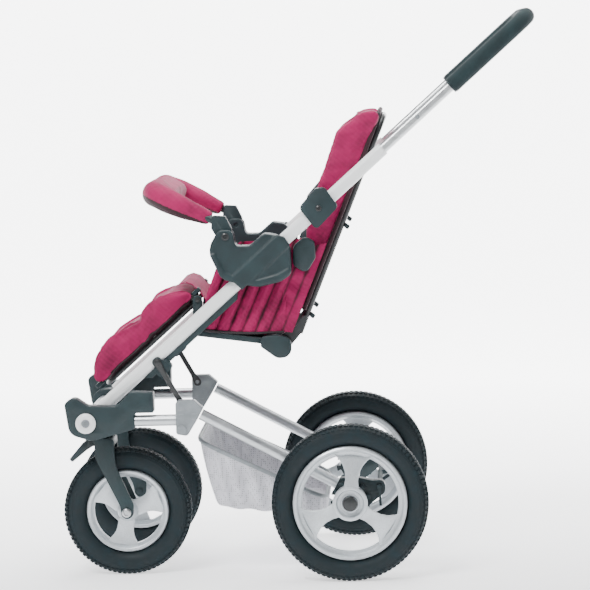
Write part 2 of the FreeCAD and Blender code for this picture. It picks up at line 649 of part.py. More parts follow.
def handle():
    """The telescoping handle: one bent flat-oval tube, its foam grip, and a spring button in each leg."""
    track, start, end = size("bar_half_track"), size("inner_start"), size("handle_end")
    path = bent_path([(start, -track, 0), (end, -track, 0), (end, track, 0), (start, track, 0)],
                     size("handle_corner"))
    depth, width, wall = size("inner_depth"), size("inner_width"), 1.6
    tube = swept(path, slot_wire(depth, width))
    tube = tube.cut(swept(path, slot_wire(depth - 2 * wall, width - 2 * wall)))
    button_u = 882.0
    for side, sign in SIDES:
        low = sign * track + (0 if sign > 0 else -width)
        hole = Part.makeCylinder(4.3, width, Vector(button_u, low, 0), Vector(0, 1, 0))
        tube = tube.cut(hole)
        button = turned(f"telescope_button_{side}_shape", [
            (0.01, 0, 0), (5.1, 0, 0.3), (5.1, sign * 1.0, 0.3), (4, sign * 1.0, 0), (4, sign * 6.5, 1.5),
            (0.01, sign * 7.5, 0),
        ], 0, 0, 0)
        button.Placement = ON_BAR.multiply(Placement(Vector(button_u, sign * (track + 3.6), 0), Rotation()))
        keep(button, f"telescope_button_{side}")
    keep(shaped("handle_tube", tube, ON_BAR), "handle_tube")
    grip_path = bent_path([(size("grip_start"), -track, 0), (end, -track, 0), (end, track, 0),
                           (size("grip_start"), track, 0)], size("handle_corner"))
    sleeve = swept(grip_path, ring_wire(size("grip_radius")))
    foam = sleeve.cut(swept(grip_path, slot_wire(depth + 0.1, width + 0.1)))
    keep(shaped("handle_grip", foam, ON_BAR), "handle_grip")


# --- seat --------------------------------------------------------------------------------------------


def seat_brackets():
    """Saddles over the push bars that carry the seat; the front lobe holds the bumper bar's hinge."""
    hinge_x, hinge_z = BUMPER_HINGE
    inside, width = size("bracket_inside"), size("bracket_width")
    bar, half_bar, gap = size("bar_half_track"), size("bar_width") / 2, size("gap")
    for side, sign in SIDES:
        body = plate(f"seat_bracket_{side}_block", [
            (-266, 640, 24), (-238, 586, 12), (-172, 570, 50), (-127, 580, 20), (-106, 594, 12),
            (-107, 646, 14),
            (-134, 672, 8), (-158, 676, 10), (-186, 652, 12), (-214, 652, 8),
            (hinge_x + 14, hinge_z + 13, 13),
            (hinge_x - 14, hinge_z + 13, 13), (-262, 658, 12),
        ], "Sizes.bracket_width", sign * (inside + width / 2), FROM_AXLE,
            holes=[(hinge_x, hinge_z, size("pin_radius") + size("running"))])
        low, high = sorted((sign * (bar - half_bar - gap), sign * (bar + half_bar + gap)))
        channel = box_at(f"seat_bracket_{side}_channel", (330, low, -160),
                         (620, high, size("bar_depth") / 2 + gap), ON_BAR)
        slot = box_at(f"seat_bracket_{side}_slot", (hinge_x - 34, sign * 191 - 11, hinge_z - 14),
                      (hinge_x + 30, sign * 191 + 11, hinge_z + 30), FROM_AXLE)
        keep(cut(body, channel, slot), f"seat_bracket_{side}")


def seat():
    """Base board with leg rest ears, its hinge knuckles, the cushion and the fabric side panels."""
    half, board = size("seat_half_width"), size("seat_board")
    base = plate("seat_base_board", [
        (-306, 474, 4), (-250, 466, 60), (-151, 452, 4), (-151, 452 + board, 4), (-250, 466 + board, 60),
        (-306, 474 + board, 4),
    ], 2 * half, 0, FROM_AXLE)
    ears = [plate(f"seat_base_ear_{side}", [
        (-306, 478, 3), (-284, 475, 3), (-286, 552, 8), (-304, 552, 8)], 6.0, sign * 154, FROM_AXLE,
        holes=[(-294.6, 543.9, 5 + size("running"))]) for side, sign in SIDES]
    keep(fuse(base, *ears), "seat_base")
    knuckles = []
    hinge_x, hinge_z = BACK_HINGE
    for side, sign in SIDES:
        cheek = plate(f"seat_knuckle_{side}_cheek", [
            (-171, 450, 5), (hinge_x - 6, hinge_z - 23, 20), (hinge_x + 22, hinge_z - 20, 18),
            (hinge_x + 23, hinge_z + 18, 18),
            (hinge_x - 8, hinge_z + 24, 18), (-171, 470, 8)], 16.0, sign * (half + 8), FROM_AXLE)
        low, high = sorted((sign * 140, sign * (half + 6)))
        pin = cross_rod(f"seat_knuckle_{side}_pin", "Sizes.pin_radius", low, high, hinge_x, hinge_z,
                        FROM_AXLE)
        knuckles.append(fuse(cheek, pin))
        keep(plate(f"side_panel_{side}", [
            (-290, 486, 6), (-250, 479, 60), (-172, 475.5, 8), (-126, 475.5, 6), (-108, 572, 8),
            (-110, 632, 8),
            (-226, 640, 10), (-272, 560, 20),
        ], 6.0, sign * (half - 1), FROM_AXLE), f"side_panel_{side}")
    group("seat_knuckles", knuckles)
    keep(plate("seat_cushion", [
        (-300, 486, 8), (-160, 466, 8), (-133, 470, 6), (-121, 514, 8), (-240, 526, 60), (-292, 532, 14),
        (-304, 516, 10),
    ], "Sizes.cushion_width", 0, FROM_AXLE), "seat_cushion")
    strap = plate("harness_crotch_strap",
                  [(-214, 527.5, 0.5), (-196, 526, 0.5), (-206, 574, 0.5), (-212, 574, 0.5)], 24.0, 0,
                  FROM_AXLE)
    buckle = plate("harness_buckle_block", [(-218, 572, 4), (-202, 570, 4), (-196, 612, 5), (-212, 614, 5)],
                   50.0, 0, FROM_AXLE)
    keep(fuse(strap, buckle), "harness_buckle")


def backrest():
    """Back frame on the knuckles, board, bucket cushion with side wings, recline catches, hooks and straps.
    Drawn along the back: s runs up from the lower end of the rear face, w is the way forward from that face."""
    back = math.radians(size("back_angle"))
    foot = Vector(-98.0, 0, BACK_HINGE[1])
    on_back = FROM_AXLE.multiply(Placement(foot, Rotation(Vector(0, 1, 0), -size("back_angle"))))
    half = size("back_half_width")
    hinge_s = (BACK_HINGE[0] - foot.x) * math.cos(back)
    hinge_w = (foot.x - BACK_HINGE[0]) * math.sin(back)
    leg_y, tube_r = 128.0, 7.0
    path = bent_path([(22, -leg_y, tube_r), (478, -leg_y, tube_r), (478, leg_y, tube_r),
                      (22, leg_y, tube_r)], 60)
    tube = shaped("back_frame_tube", swept(path, ring_wire(tube_r)), on_back)
    lugs = [plate(f"back_frame_lug{i}", [
        (hinge_s - 13, hinge_w - 12, 11), (28, 2, 4), (60, 2, 5), (60, 12, 5), (34, 18, 8),
        (hinge_s + 12, hinge_w + 13, 12), (hinge_s - 13, hinge_w + 13, 12),
    ], 14.0, sign * 149.5, on_back, holes=[(hinge_s, hinge_w, size("pin_radius") + size("running"))]) for i,
    (side, sign) in enumerate(SIDES)]
    ties = [cross_rod(f"back_frame_tie{i}", 4.5, min(sign * 124, sign * 150), max(sign * 124, sign * 150),
                      48, 7, on_back)
            for i, (side, sign) in enumerate(SIDES)]
    keep(fuse(tube, *lugs, *ties), "back_frame")
    keep(plate("back_board", [(66, 14.5, 2), (66, 18, 1.5), (486, 18, 1.5), (486, 14.5, 2)], 270.0, 0,
               on_back), "back_board")
    wing = [(62, 18.5, 6), (64, 40, 10), (150, 42, 30), (230, 66, 40), (330, 78, 60), (430, 82, 40),
            (476, 60, 30), (497, 26, 16), (484, 18.5, 6)]
    body = plate("back_cushion_block", wing, 2 * half, 0, on_back)
    hollow = plate("back_cushion_hollow",
                   [(40, 45, 0), (468, 45, 12), (490, 66, 0), (490, 120, 0), (40, 120, 0)], 2 * half - 48,
                   0, on_back)
    keep(cut(body, hollow), "back_cushion")
    catches = []
    for side, sign in SIDES:
        catches.append(plate(f"recline_catch_{side}", [
            (140, 36, 12), (146, 66, 12), (182, 80, 14), (208, 66, 14), (206, 44, 12), (176, 30, 14)], 16.0,
            sign * 176, on_back))
        catches.append(plate(f"recline_catch_{side}_stud",
                             [(160, 38, 4), (160, 52, 4), (186, 52, 4), (186, 38, 4)], 9.0, sign * 164.5,
                             on_back))
    group("recline_catches", [fuse(catches[0], catches[1]), fuse(catches[2], catches[3])])
    hooks = [plate(f"back_hook_{i}_{side}", [(s, 0, 1), (s + 9, 0, 1), (s + 6, -11, 3), (s - 3, -9, 3)],
                   10.0, sign * 128, on_back)
             for i, s in enumerate((60.0, 250.0, 400.0)) for side, sign in SIDES]
    group("back_hooks", hooks)
    straps = [plate(f"shoulder_strap_{side}",
                    [(96, 45.5, 0.6), (96, 52, 2), (390, 52, 2), (400, 45.5, 0.6)], 34.0, sign * 46,
                    on_back)
              for side, sign in SIDES]
    group("shoulder_straps", straps)


def bumper():
    """Padded bumper bar on two plugs that hinge in the brackets."""
    hinge_x, hinge_z = BUMPER_HINGE
    rise, track = math.atan2(60, 133), 191.0
    root = Vector(-245, 0, 697)
    on_bumper = FROM_AXLE.multiply(Placement(root, Rotation(Vector(0, 1, 0), -180 + math.degrees(rise))))
    points = [(0, -track, 0), (146, -track, 0), (146, track, 0), (0, track, 0)]
    path = bent_path(points, 62)
    tube = shaped("bumper_tube_bend", swept(path, ring_wire(size("bumper_radius"))), on_bumper)
    plugs = []
    for side, sign in SIDES:
        y = sign * track
        plug = plate(f"bumper_plug_{side}", [
            (hinge_x - 12, hinge_z - 12, 11.5), (hinge_x + 12, hinge_z - 12, 11.5),
            (hinge_x + 12, hinge_z + 14, 6),
            (root.x + 12, root.z + 13, 5), (root.x - 14, root.z + 15, 5), (root.x - 16, root.z - 10, 5)],
            21.2, y, FROM_AXLE)
        pin = cross_rod(f"bumper_pin_{side}", "Sizes.pin_radius", y - 20, y + 20, hinge_x, hinge_z,
                        FROM_AXLE)
        plugs += [plug, pin]
    keep(fuse(tube, *plugs), "bumper_bar")
    cover_path = bent_path([(18, -track, 0), (146, -track, 0), (146, track, 0), (18, track, 0)], 62)
    foam = swept(cover_path, ring_wire(size("cover_radius"))).cut(swept(cover_path,
        ring_wire(size("bumper_radius") + 0.1)))
    keep(shaped("bumper_cover", foam, on_bumper), "bumper_cover")


def leg_rest():
    """Padded leg rest on a bent rod that hinges under the front edge of the seat."""
    hinge_u, hinge_v = 318.0, 28.0
    track = 110.0
    path = bent_path([(hinge_u, -track, 26), (66, -track, 26), (66, track, 26), (hinge_u, track, 26)], 30)
    loop = shaped("leg_rest_loop", swept(path, ring_wire(5)), ON_BAR)
    rod = cross_rod("leg_rest_hinge", 5.0, -160, 160, hinge_u, hinge_v, ON_BAR)
    keep(fuse(loop, rod), "leg_rest_frame")
    keep(plate("leg_rest_pad", [
        (50, 32, 8), (44, 48, 12), (70, 80, 26), (130, 87, 40), (196, 77, 40), (240, 86, 26), (288, 74, 20),
        (326, 46, 6), (322, 35, 4), (270, 32, 8)], "Sizes.legrest_width", 0, ON_BAR), "leg_rest_pad")


# --- the whole stroller ------------------------------------------------------------------------------

for make in (rear_wheels, front_wheels, forks, front_end, rails, rear_end, brake, basket, push_bars,
             fold_gear, handle, seat_brackets, seat, backrest, bumper, leg_rest):
    make()
doc.recompute()

for item in doc.Objects:
    if "Invalid" in item.State or "Error" in item.State:
        raise RuntimeError(f"{item.Label} did not build: {item.State}")
os.makedirs("parts", exist_ok=True)
for old in os.listdir("parts"):
    os.remove(os.path.join("parts", old))
low, high = Vector(1e9, 1e9, 1e9), Vector(-1e9, -1e9, -1e9)
for node in nodes:
    shape = node.Shape
    if shape.isNull() or not shape.isValid() or not shape.Solids:
        raise RuntimeError(f"{node.Label} has no valid solid")
    box = shape.BoundBox
    low = Vector(min(low.x, box.XMin), min(low.y, box.YMin), min(low.z, box.ZMin))
    high = Vector(max(high.x, box.XMax), max(high.y, box.YMax), max(high.z, box.ZMax))
    shape.exportStep(f"parts/{node.Label}.step")
print(f"{len(nodes)} nodes, from {tuple(low)} to {tuple(high)}")
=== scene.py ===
"""Visual model of a folding four-wheeled stroller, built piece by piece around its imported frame."""

import json
import math

import bpy
from bpy.props import FloatProperty, FloatVectorProperty, IntProperty, PointerProperty
from mathutils import Matrix, Vector, noise

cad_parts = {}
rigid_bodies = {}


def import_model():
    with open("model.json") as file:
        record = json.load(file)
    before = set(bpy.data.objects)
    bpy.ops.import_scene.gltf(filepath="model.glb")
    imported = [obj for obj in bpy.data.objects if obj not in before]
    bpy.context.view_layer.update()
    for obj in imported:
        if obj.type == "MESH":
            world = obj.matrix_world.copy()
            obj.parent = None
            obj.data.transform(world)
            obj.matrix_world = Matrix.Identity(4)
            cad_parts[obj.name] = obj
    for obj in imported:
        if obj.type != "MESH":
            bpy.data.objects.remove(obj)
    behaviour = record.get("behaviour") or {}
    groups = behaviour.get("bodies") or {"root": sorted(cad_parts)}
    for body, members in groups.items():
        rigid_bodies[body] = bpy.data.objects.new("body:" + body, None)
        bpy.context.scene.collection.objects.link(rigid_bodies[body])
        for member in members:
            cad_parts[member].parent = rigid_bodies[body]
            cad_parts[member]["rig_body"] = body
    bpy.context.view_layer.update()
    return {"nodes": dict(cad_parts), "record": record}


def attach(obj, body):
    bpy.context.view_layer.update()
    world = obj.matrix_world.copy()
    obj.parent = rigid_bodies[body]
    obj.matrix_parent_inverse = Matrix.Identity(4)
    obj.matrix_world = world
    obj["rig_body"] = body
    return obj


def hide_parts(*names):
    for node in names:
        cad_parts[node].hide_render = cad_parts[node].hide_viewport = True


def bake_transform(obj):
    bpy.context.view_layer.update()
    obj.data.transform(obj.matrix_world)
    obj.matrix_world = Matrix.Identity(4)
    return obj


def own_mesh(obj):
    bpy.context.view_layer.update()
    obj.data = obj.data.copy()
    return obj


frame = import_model()

bl_info = {
    "name": "Stroller Maker",
    "version": (1, 0, 0),
    "blender": (4, 5, 0),
    "location": "View3D > Sidebar > Stroller",
    "description": "Makes the tyres, covers, basket and finishes of a folding stroller around its frame",
    "category": "Object",
}

SIDES = (("left", -1), ("right", 1))
# Places, in metres, and slopes of the frame in its side view; the wheels stand half a track off the middle.
BAR_ANGLE = math.radians(41.3)
PIVOT = Vector((-0.4165, 0, 0.313))
REAR_AXLE = Vector((0.0985, 0, 0.153))
FRONT_AXLE = Vector((-0.3465, 0, 0.127))
BACK_ANGLE = math.radians(67.5)
BACK_FOOT = Vector((0.0005, 0, 0.449))
BUMPER_ANGLE = math.pi - math.atan2(60, 133)
BUMPER_ROOT = Vector((-0.1465, 0, 0.697))
REAR_HALF_TRACK = 0.28
FRONT_HALF_TRACK = 0.149
# The phase of the side cloth's pleats, for its mesh and for the painted shade in its creases, is run .
# point + start.
PLEAT_RUN = Vector((118.0, 0, -52.0))
PLEAT_START = 41.0


def linear(code):
    """Linear RGB from an sRGB hex code."""
    parts = [int(code[i:i + 2], 16) / 255 for i in (1, 3, 5)]
    return [c / 12.92 if c <= 0.04045 else ((c + 0.055) / 1.055) ** 2.4 for c in parts]


def slanted(angle, origin):
    """The frame of a slope in the side view: x runs up the slope and z stands square to it."""
    return Matrix.Translation(origin) @ Matrix.Rotation(-angle, 4, "Y")


ON_BAR = slanted(BAR_ANGLE, PIVOT)
ON_BACK = slanted(BACK_ANGLE, BACK_FOOT)
ON_BUMPER = slanted(BUMPER_ANGLE, BUMPER_ROOT)


# --- properties --------------------------------------------------------------------------------------


def length(name, text, default):
    return FloatProperty(name=name, description=text, default=default, min=0, unit="LENGTH")


def count(name, text, default):
    return IntProperty(name=name, description=text, default=default, min=12)


def colour(name, text, code):
    return FloatVectorProperty(name=name, description=text, default=linear(code), subtype="COLOR", size=3)


class StrollerSizes(bpy.types.PropertyGroup):
    edge: length("Moulded edge", "Rounding on the edges of moulded parts", 0.0022)
    weave: length("Thread spacing", "Spacing of the cover's threads, coarse enough to show", 0.0026)
    swell: length("Swell", "How far a cover may stand off its pad", 0.008)
    voxel: length("Cover mesh", "Mesh size that a cover is simulated at", 0.0055)
    pleat: length("Pleat depth", "Depth of the gathers in the side cloth", 0.0065)
    basket_fold: length("Basket fold", "Depth of the folds in the basket's mesh", 0.006)
    tread_depth: length("Tread depth", "Height of the tread blocks", 0.0012)
    rear_lugs: count("Rear tread blocks", "Blocks around a rear tyre", 92)
    front_lugs: count("Front tread blocks", "Blocks around a front tyre", 78)


class StrollerColours(bpy.types.PropertyGroup):
    cover: colour("Cover", "Woven cover cloth", "#94034A")
    lining: colour("Lining", "Dark cloth under the pads", "#2A0A16")
    moulding: colour("Moulding", "Dark moulded nylon", "#15292D")
    tyre: colour("Tyre", "Tyre rubber", "#0A1B20")
    silver: colour("Silver", "Silver lacquer of the rims", "#C6CCD0")
    tube: colour("Tube", "Anodised tubes", "#CDD1D4")
    lacquer: colour("Bar lacquer", "Powder coat of the push bars", "#F8FAFA")
    basket: colour("Basket", "Basket mesh", "#D3D3DA")
    grip: colour("Grip", "Foam of the handle grip", "#14272A")
    webbing: colour("Webbing", "Harness webbing", "#23282C")


# --- small steps used by several pieces --------------------------------------------------------------


def choose(*pieces):
    """Selects only these objects, the last one active."""
    bpy.ops.object.select_all(action="DESELECT")
    for piece in pieces:
        piece.select_set(True)
    bpy.context.view_layer.objects.active = pieces[-1]
    return pieces[-1]


def blank(kind, name, location=(0, 0, 0), scale=(1, 1, 1), **settings):
    """Adds a primitive at its place and size, with its transform applied."""
    bpy.ops.object.select_all(action="DESELECT")
    getattr(bpy.ops.mesh, f"primitive_{kind}_add")(location=location, **settings)
    piece = bpy.context.active_object
    piece.scale = scale
    bpy.ops.object.transform_apply(location=True, rotation=True, scale=True)
    piece.name = name
    return piece


def editing(piece, select="ALL"):
    """Opens a piece for editing with all of it selected, or only the faces that a test picks."""
    choose(piece)
    bpy.context.tool_settings.mesh_select_mode = (False, False, True)
    if select != "ALL":
        for part in (*piece.data.vertices, *piece.data.edges):
            part.select = False
        for face in piece.data.polygons:
            face.select = select(face)
    bpy.ops.object.mode_set(mode="EDIT")
    if select == "ALL":
        bpy.ops.mesh.select_all(action="SELECT")


def done():
    bpy.ops.object.mode_set(mode="OBJECT")


def edited(tool, piece, select="ALL", **settings):
    """Runs one editing tool on a piece, or only on the faces that a test picks."""
    editing(piece, select)
    getattr(bpy.ops.mesh, tool)(**settings)
    done()
    return piece


def outward(piece):
    """Merges doubles and turns the faces outwards."""
    editing(piece)
    bpy.ops.mesh.remove_doubles(threshold=0.00002)
    bpy.ops.mesh.normals_make_consistent(inside=False)
    done()
    return piece


def finished(piece, kind, **settings):
    """Adds a modifier and applies it."""
    choose(piece)
    modifier = piece.modifiers.new(kind.lower(), kind)
    for key, value in settings.items():
        setattr(modifier, key, value)
    bpy.ops.object.modifier_apply(modifier=modifier.name)
    return piece


def smooth(piece, degrees=35):
    choose(piece)
    bpy.ops.object.shade_smooth_by_angle(angle=math.radians(degrees))
    return piece


def placed(piece, matrix):
    """Turns and moves a piece that was drawn on a slope, into its mesh."""
    choose(piece)
    piece.matrix_world = matrix
    bpy.ops.object.transform_apply(location=True, rotation=True, scale=True)
    return piece


def joined(name, pieces):
    """Makes one object of several."""
    whole = choose(*pieces)
    if len(pieces) > 1:
        bpy.ops.object.join()
    whole.name = name
    whole.data.name = name
    return whole


def node_copy(node, name):
    """A merged copy of a frame node's mesh, to be shaped further."""
    source = frame["nodes"][node]
    piece = bpy.data.objects.new(name, source.data.copy())
    bpy.context.scene.collection.objects.link(piece)
    piece.data.materials.clear()
    if piece.data.has_custom_normals:
        choose(piece)
        bpy.ops.mesh.customdata_custom_splitnormals_clear()
    editing(piece)
    bpy.ops.mesh.remove_doubles(threshold=0.00001)
    bpy.ops.mesh.dissolve_limited(angle_limit=math.radians(1))
    done()
    return piece


def rounded_node(node, name, width, segments=2):
    """A frame node with the rounded edges that its mould gives it."""
    piece = node_copy(node, name)
    finished(piece, "BEVEL", width=width, segments=segments, limit_method="ANGLE",
             angle_limit=math.radians(40), use_clamp_overlap=True, harden_normals=False)
    return smooth(piece, 40)


def moved(piece, change):
    """Moves each vertex to where change sends it."""
    for vertex in piece.data.vertices:
        vertex.co = change(vertex.co.copy())
    piece.data.update()
    return piece


def fit_out(piece, body, slot, replaces=(), finish=None):
    """Paints a piece, fixes it to its body and hides the frame nodes it stands for."""
    if not piece.data.materials:
        piece.data.materials.append(FINISHES[finish or slot])
    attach(piece, body)
    if replaces:
        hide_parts(*replaces)
    return piece


def body_of(node):
    return frame["nodes"][node]["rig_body"]


def slot_of(node):
    return next(s["material_slot"] for s in frame["record"]["subparts"] if s["node"] == node)


def bent_tube(name, points, radius, sides=12, closed=False):
    """A round tube along smooth points."""
    curve = bpy.data.curves.new(name, "CURVE")
    curve.dimensions = "3D"
    curve.bevel_depth = radius
    curve.bevel_resolution = max(1, sides // 4)
    curve.use_fill_caps = True
    line = curve.splines.new("NURBS")
    line.points.add(len(points) - 1)
    for spot, point in zip(line.points, points):
        spot.co = (*point, 1)
    line.order_u = 3
    line.use_endpoint_u = not closed
    line.use_cyclic_u = closed
    piece = bpy.data.objects.new(name, curve)
    bpy.context.scene.collection.objects.link(piece)
    choose(piece)
    bpy.ops.object.convert(target="MESH")
    piece = bpy.context.active_object
    piece.name = name
    return smooth(piece, 50)


def ribbon(name, points, width, thickness):
    """Flat webbing along points in the side view, each (x, y, z), laid across Y."""
    piece = blank("plane", name, size=1)
    steps = len(points) - 1
    editing(piece)
    bpy.ops.mesh.delete(type="VERT")
    done()
    mesh = piece.data
    verts, faces = [], []
    for x, y, z in points:
        verts += [(x, y - width / 2, z), (x, y + width / 2, z)]
    for k in range(steps):
        faces.append((2 * k, 2 * k + 1, 2 * k + 3, 2 * k + 2))
    mesh.from_pydata(verts, [], faces)
    finished(piece, "SUBSURF", levels=2, render_levels=2)
    finished(piece, "SOLIDIFY", thickness=thickness, offset=0)
    finished(piece, "BEVEL", width=thickness * 0.35, segments=2, limit_method="ANGLE")
    return smooth(outward(piece), 40)


# --- finishes ----------------------------------------------------------------------------------------


def add(tree, kind, values=None, links=None, **settings):
    """Adds a node with its settings, its socket values and the links into it."""
    made = tree.nodes.new(f"ShaderNode{kind}")
    for key, value in settings.items():
        setattr(made, key, value)
    for key, value in (values or {}).items():
        made.inputs[key].default_value = value
    for key, source in (links or {}).items():
        tree.links.new(source, made.inputs[key])
    return made


def feed(shader, socket, source):
    """Links a source into one of the shader's sockets."""
    shader.id_data.links.new(source, shader.inputs[socket])


def start_finish(name, shader_values):
    """A material with a shader whose constants are set, and the object's own coordinates."""
    material = bpy.data.materials.new(name)
    material.use_nodes = True
    tree = material.node_tree
    tree.nodes.clear()
    shader = add(tree, "BsdfPrincipled", shader_values)
    add(tree, "OutputMaterial", links={"Surface": shader.outputs["BSDF"]})
    where = add(tree, "TexCoord").outputs["Object"]
    return material, tree, shader, where


def patches(tree, where, size, detail=3.0, distortion=0.0):
    """Cloudy variation; size is the width of a patch in metres."""
    return add(tree, "TexNoise", {"Scale": 1 / size, "Detail": detail, "Distortion": distortion},
               {"Vector": where}).outputs["Fac"]


def stretched(tree, where, scale, angle=0.0):
    """Coordinates turned about Y and scaled, for streaks and threads."""
    return add(tree, "Mapping", {"Rotation": (0, angle, 0), "Scale": scale},
               {"Vector": where}).outputs["Vector"]


def blend_colours(tree, factor, stops):
    """Colours along a factor; each stop is (place, linear colour)."""
    ramp = add(tree, "ValToRGB", links={"Fac": factor})
    while len(ramp.color_ramp.elements) < len(stops):
        ramp.color_ramp.elements.new(0.5)
    for element, (place, shade) in zip(ramp.color_ramp.elements, stops):
        element.position = place
        element.color = (*shade, 1)
    return ramp.outputs["Color"]


def ranged(tree, factor, low, high, start=0.3, end=0.7):
    return add(tree, "MapRange", {"From Min": start, "From Max": end, "To Min": low, "To Max": high},
               {"Value": factor}).outputs["Result"]


def bumped(tree, shader, height, depth, strength=1.0, below=None):
    """Raises the surface by a height pattern; depth is in metres."""
    links = {"Height": height}
    if below:
        links["Normal"] = below
    bump = add(tree, "Bump", {"Strength": strength, "Distance": depth}, links)
    feed(shader, "Normal", bump.outputs["Normal"])
    return bump.outputs["Normal"]


def shade(base, factor):
    return [min(1.0, c * factor) for c in base]


def moulded_nylon(name, base):
    """Glass-filled nylon from a spark-eroded mould: matt, with a fine leathery grain and paler scuffs."""
    material, tree, shader, where = start_finish(name, {"IOR": 1.53, "Specular IOR Level": 0.45})
    cloud = patches(tree, where, 0.035, 4.0)
    scuff = patches(tree, stretched(tree, where, (1, 3, 6), 0.6), 0.02, 6.0, 0.6)
    tint = blend_colours(tree, cloud, [(0.3, shade(base, 0.78)), (0.52, base), (0.75, shade(base, 1.3))])
    patchy = add(tree, "Mix", {"B": (*shade(base, 1.9), 1)},
               {"Factor": ranged(tree, scuff, 0, 0.4, 0.62, 0.78), "A": tint}, data_type="RGBA")
    feed(shader, "Base Color", patchy.outputs["Result"])
    feed(shader, "Roughness", ranged(tree, cloud, 0.42, 0.58))
    grain = add(tree, "TexVoronoi", {"Scale": 1 / 0.0014}, {"Vector": where}).outputs["Distance"]
    bumped(tree, shader, grain, 0.00012, 0.6)
    return material


def gloss_abs(name, base):
    """Polished ABS: a soft gloss with slight waviness and a few hairline marks."""
    material, tree, shader, where = start_finish(name,
                                                 {"IOR": 1.54, "Coat Weight": 0.25, "Coat Roughness": 0.15})
    cloud = patches(tree, where, 0.02)
    tint = blend_colours(tree, cloud, [(0.3, shade(base, 0.93)), (0.7, base)])
    feed(shader, "Base Color", tint)
    hair = patches(tree, stretched(tree, where, (2, 2, 40), 0.9), 0.01, 6.0)
    feed(shader, "Roughness", ranged(tree, hair, 0.24, 0.4))
    bumped(tree, shader, patches(tree, where, 0.006), 0.0001, 0.3)
    return material


def silver_lacquer(name, base):
    """Silver lacquer over moulded plastic: fine metal flakes under a clear film, dulled by road dust."""
    material, tree, shader, where = start_finish(name,
                                                 {"Metallic": 0.55, "Coat Weight": 0.3,
                                                  "Coat Roughness": 0.2})
    flake = add(tree, "TexVoronoi", {"Scale": 1 / 0.0011}, {"Vector": where}).outputs["Color"]
    spark = add(tree, "SeparateColor", links={"Color": flake}).outputs["Red"]
    dust = patches(tree, where, 0.03, 5.0)
    tint = blend_colours(tree, spark, [(0.0, shade(base, 0.88)), (1.0, shade(base, 1.08))])
    dusty = add(tree, "Mix", {"B": (*linear("#9A9C9A"), 1)},
                {"Factor": ranged(tree, dust, 0, 0.3, 0.5, 0.8), "A": tint}, data_type="RGBA")
    feed(shader, "Base Color", dusty.outputs["Result"])
    feed(shader, "Roughness", ranged(tree, dust, 0.3, 0.46))
    bumped(tree, shader, patches(tree, where, 0.004), 0.0001, 0.3)
    return material


def anodised_tube(name, base):
    """Satin anodised aluminium: a drawn tube with faint streaks along it and soft reflections."""
    material, tree, shader, where = start_finish(name, {"Metallic": 1.0})
    drawn = patches(tree, stretched(tree, where, (3, 160, 160), -0.5), 1.0, 4.0)
    cloud = patches(tree, where, 0.05)
    tint = blend_colours(tree, drawn, [(0.3, shade(base, 0.86)), (0.7, shade(base, 1.05))])
    feed(shader, "Base Color", tint)
    feed(shader, "Roughness", ranged(tree, cloud, 0.3, 0.44))
    bumped(tree, shader, drawn, 0.00005, 0.5)
    return material


def powder_coat(name, base, gloss=0.32):
    """Powder coat on a tube: even colour with the slight orange peel of baked powder."""
    material, tree, shader, where = start_finish(name,
                                                 {"IOR": 1.52, "Coat Weight": 0.35, "Coat Roughness": 0.12})
    cloud = patches(tree, where, 0.06)
    tint = blend_colours(tree, cloud, [(0.3, shade(base, 0.95)), (0.7, base)])
    feed(shader, "Base Color", tint)
    feed(shader, "Roughness", ranged(tree, cloud, gloss, gloss + 0.1))
    bumped(tree, shader, patches(tree, where, 0.0022, 2.0), 0.00012, 0.5)
    return material


def turned_steel(name, base):
    """Zinc-plated turned steel: bright, with rings left by the lathe."""
    material, tree, shader, where = start_finish(name, {"Metallic": 1.0})
    rings = add(tree, "TexWave", {"Scale": 320, "Distortion": 1.5, "Detail": 2.0}, {"Vector": where},
                bands_direction="Y").outputs["Fac"]
    tint = blend_colours(tree, patches(tree, where, 0.01), [(0.3, shade(base, 0.85)), (0.7, base)])
    feed(shader, "Base Color", tint)
    feed(shader, "Roughness", ranged(tree, rings, 0.24, 0.36))
    bumped(tree, shader, rings, 0.00004, 0.5)
    return material


def tyre_rubber(name, base):
    """Vulcanised rubber: matt and slightly blue, greyed with dust in patches."""
    material, tree, shader, where = start_finish(name, {"IOR": 1.5, "Specular IOR Level": 0.35})
    cloud = patches(tree, where, 0.025, 5.0)
    speck = patches(tree, where, 0.0016, 2.0)
    tint = blend_colours(tree, cloud, [(0.3, shade(base, 0.72)), (0.55, base), (0.8, shade(base, 1.7))])
    feed(shader, "Base Color", tint)
    feed(shader, "Roughness", ranged(tree, cloud, 0.55, 0.75))
    bumped(tree, shader, speck, 0.00018, 0.5)
    return material


def closed_foam(name, base):
    """Closed-cell foam sleeve: soft and matt, with small open pores at its skin, darkened with painted
    shade.
    """
    material, tree, shader, where = start_finish(name,
                                                 {"IOR": 1.45, "Roughness": 0.86, "Sheen Weight": 0.08})
    cloud = patches(tree, where, 0.03)
    pore = add(tree, "TexVoronoi", {"Scale": 1 / 0.0021}, {"Vector": where}).outputs["Distance"]
    tint = blend_colours(tree, cloud, [(0.3, shade(base, 0.8)), (0.7, shade(base, 1.25))])
    # Painted shade: the pores are darkened as the shade inside them.
    pitted = add(tree, "Mix", {"A": (*shade(base, 0.5), 1)},
                 {"Factor": ranged(tree, pore, 0.2, 1, 0.05, 0.3), "B": tint}, data_type="RGBA")
    feed(shader, "Base Color", pitted.outputs["Result"])
    bumped(tree, shader, pore, 0.0004, 0.6)
    return material


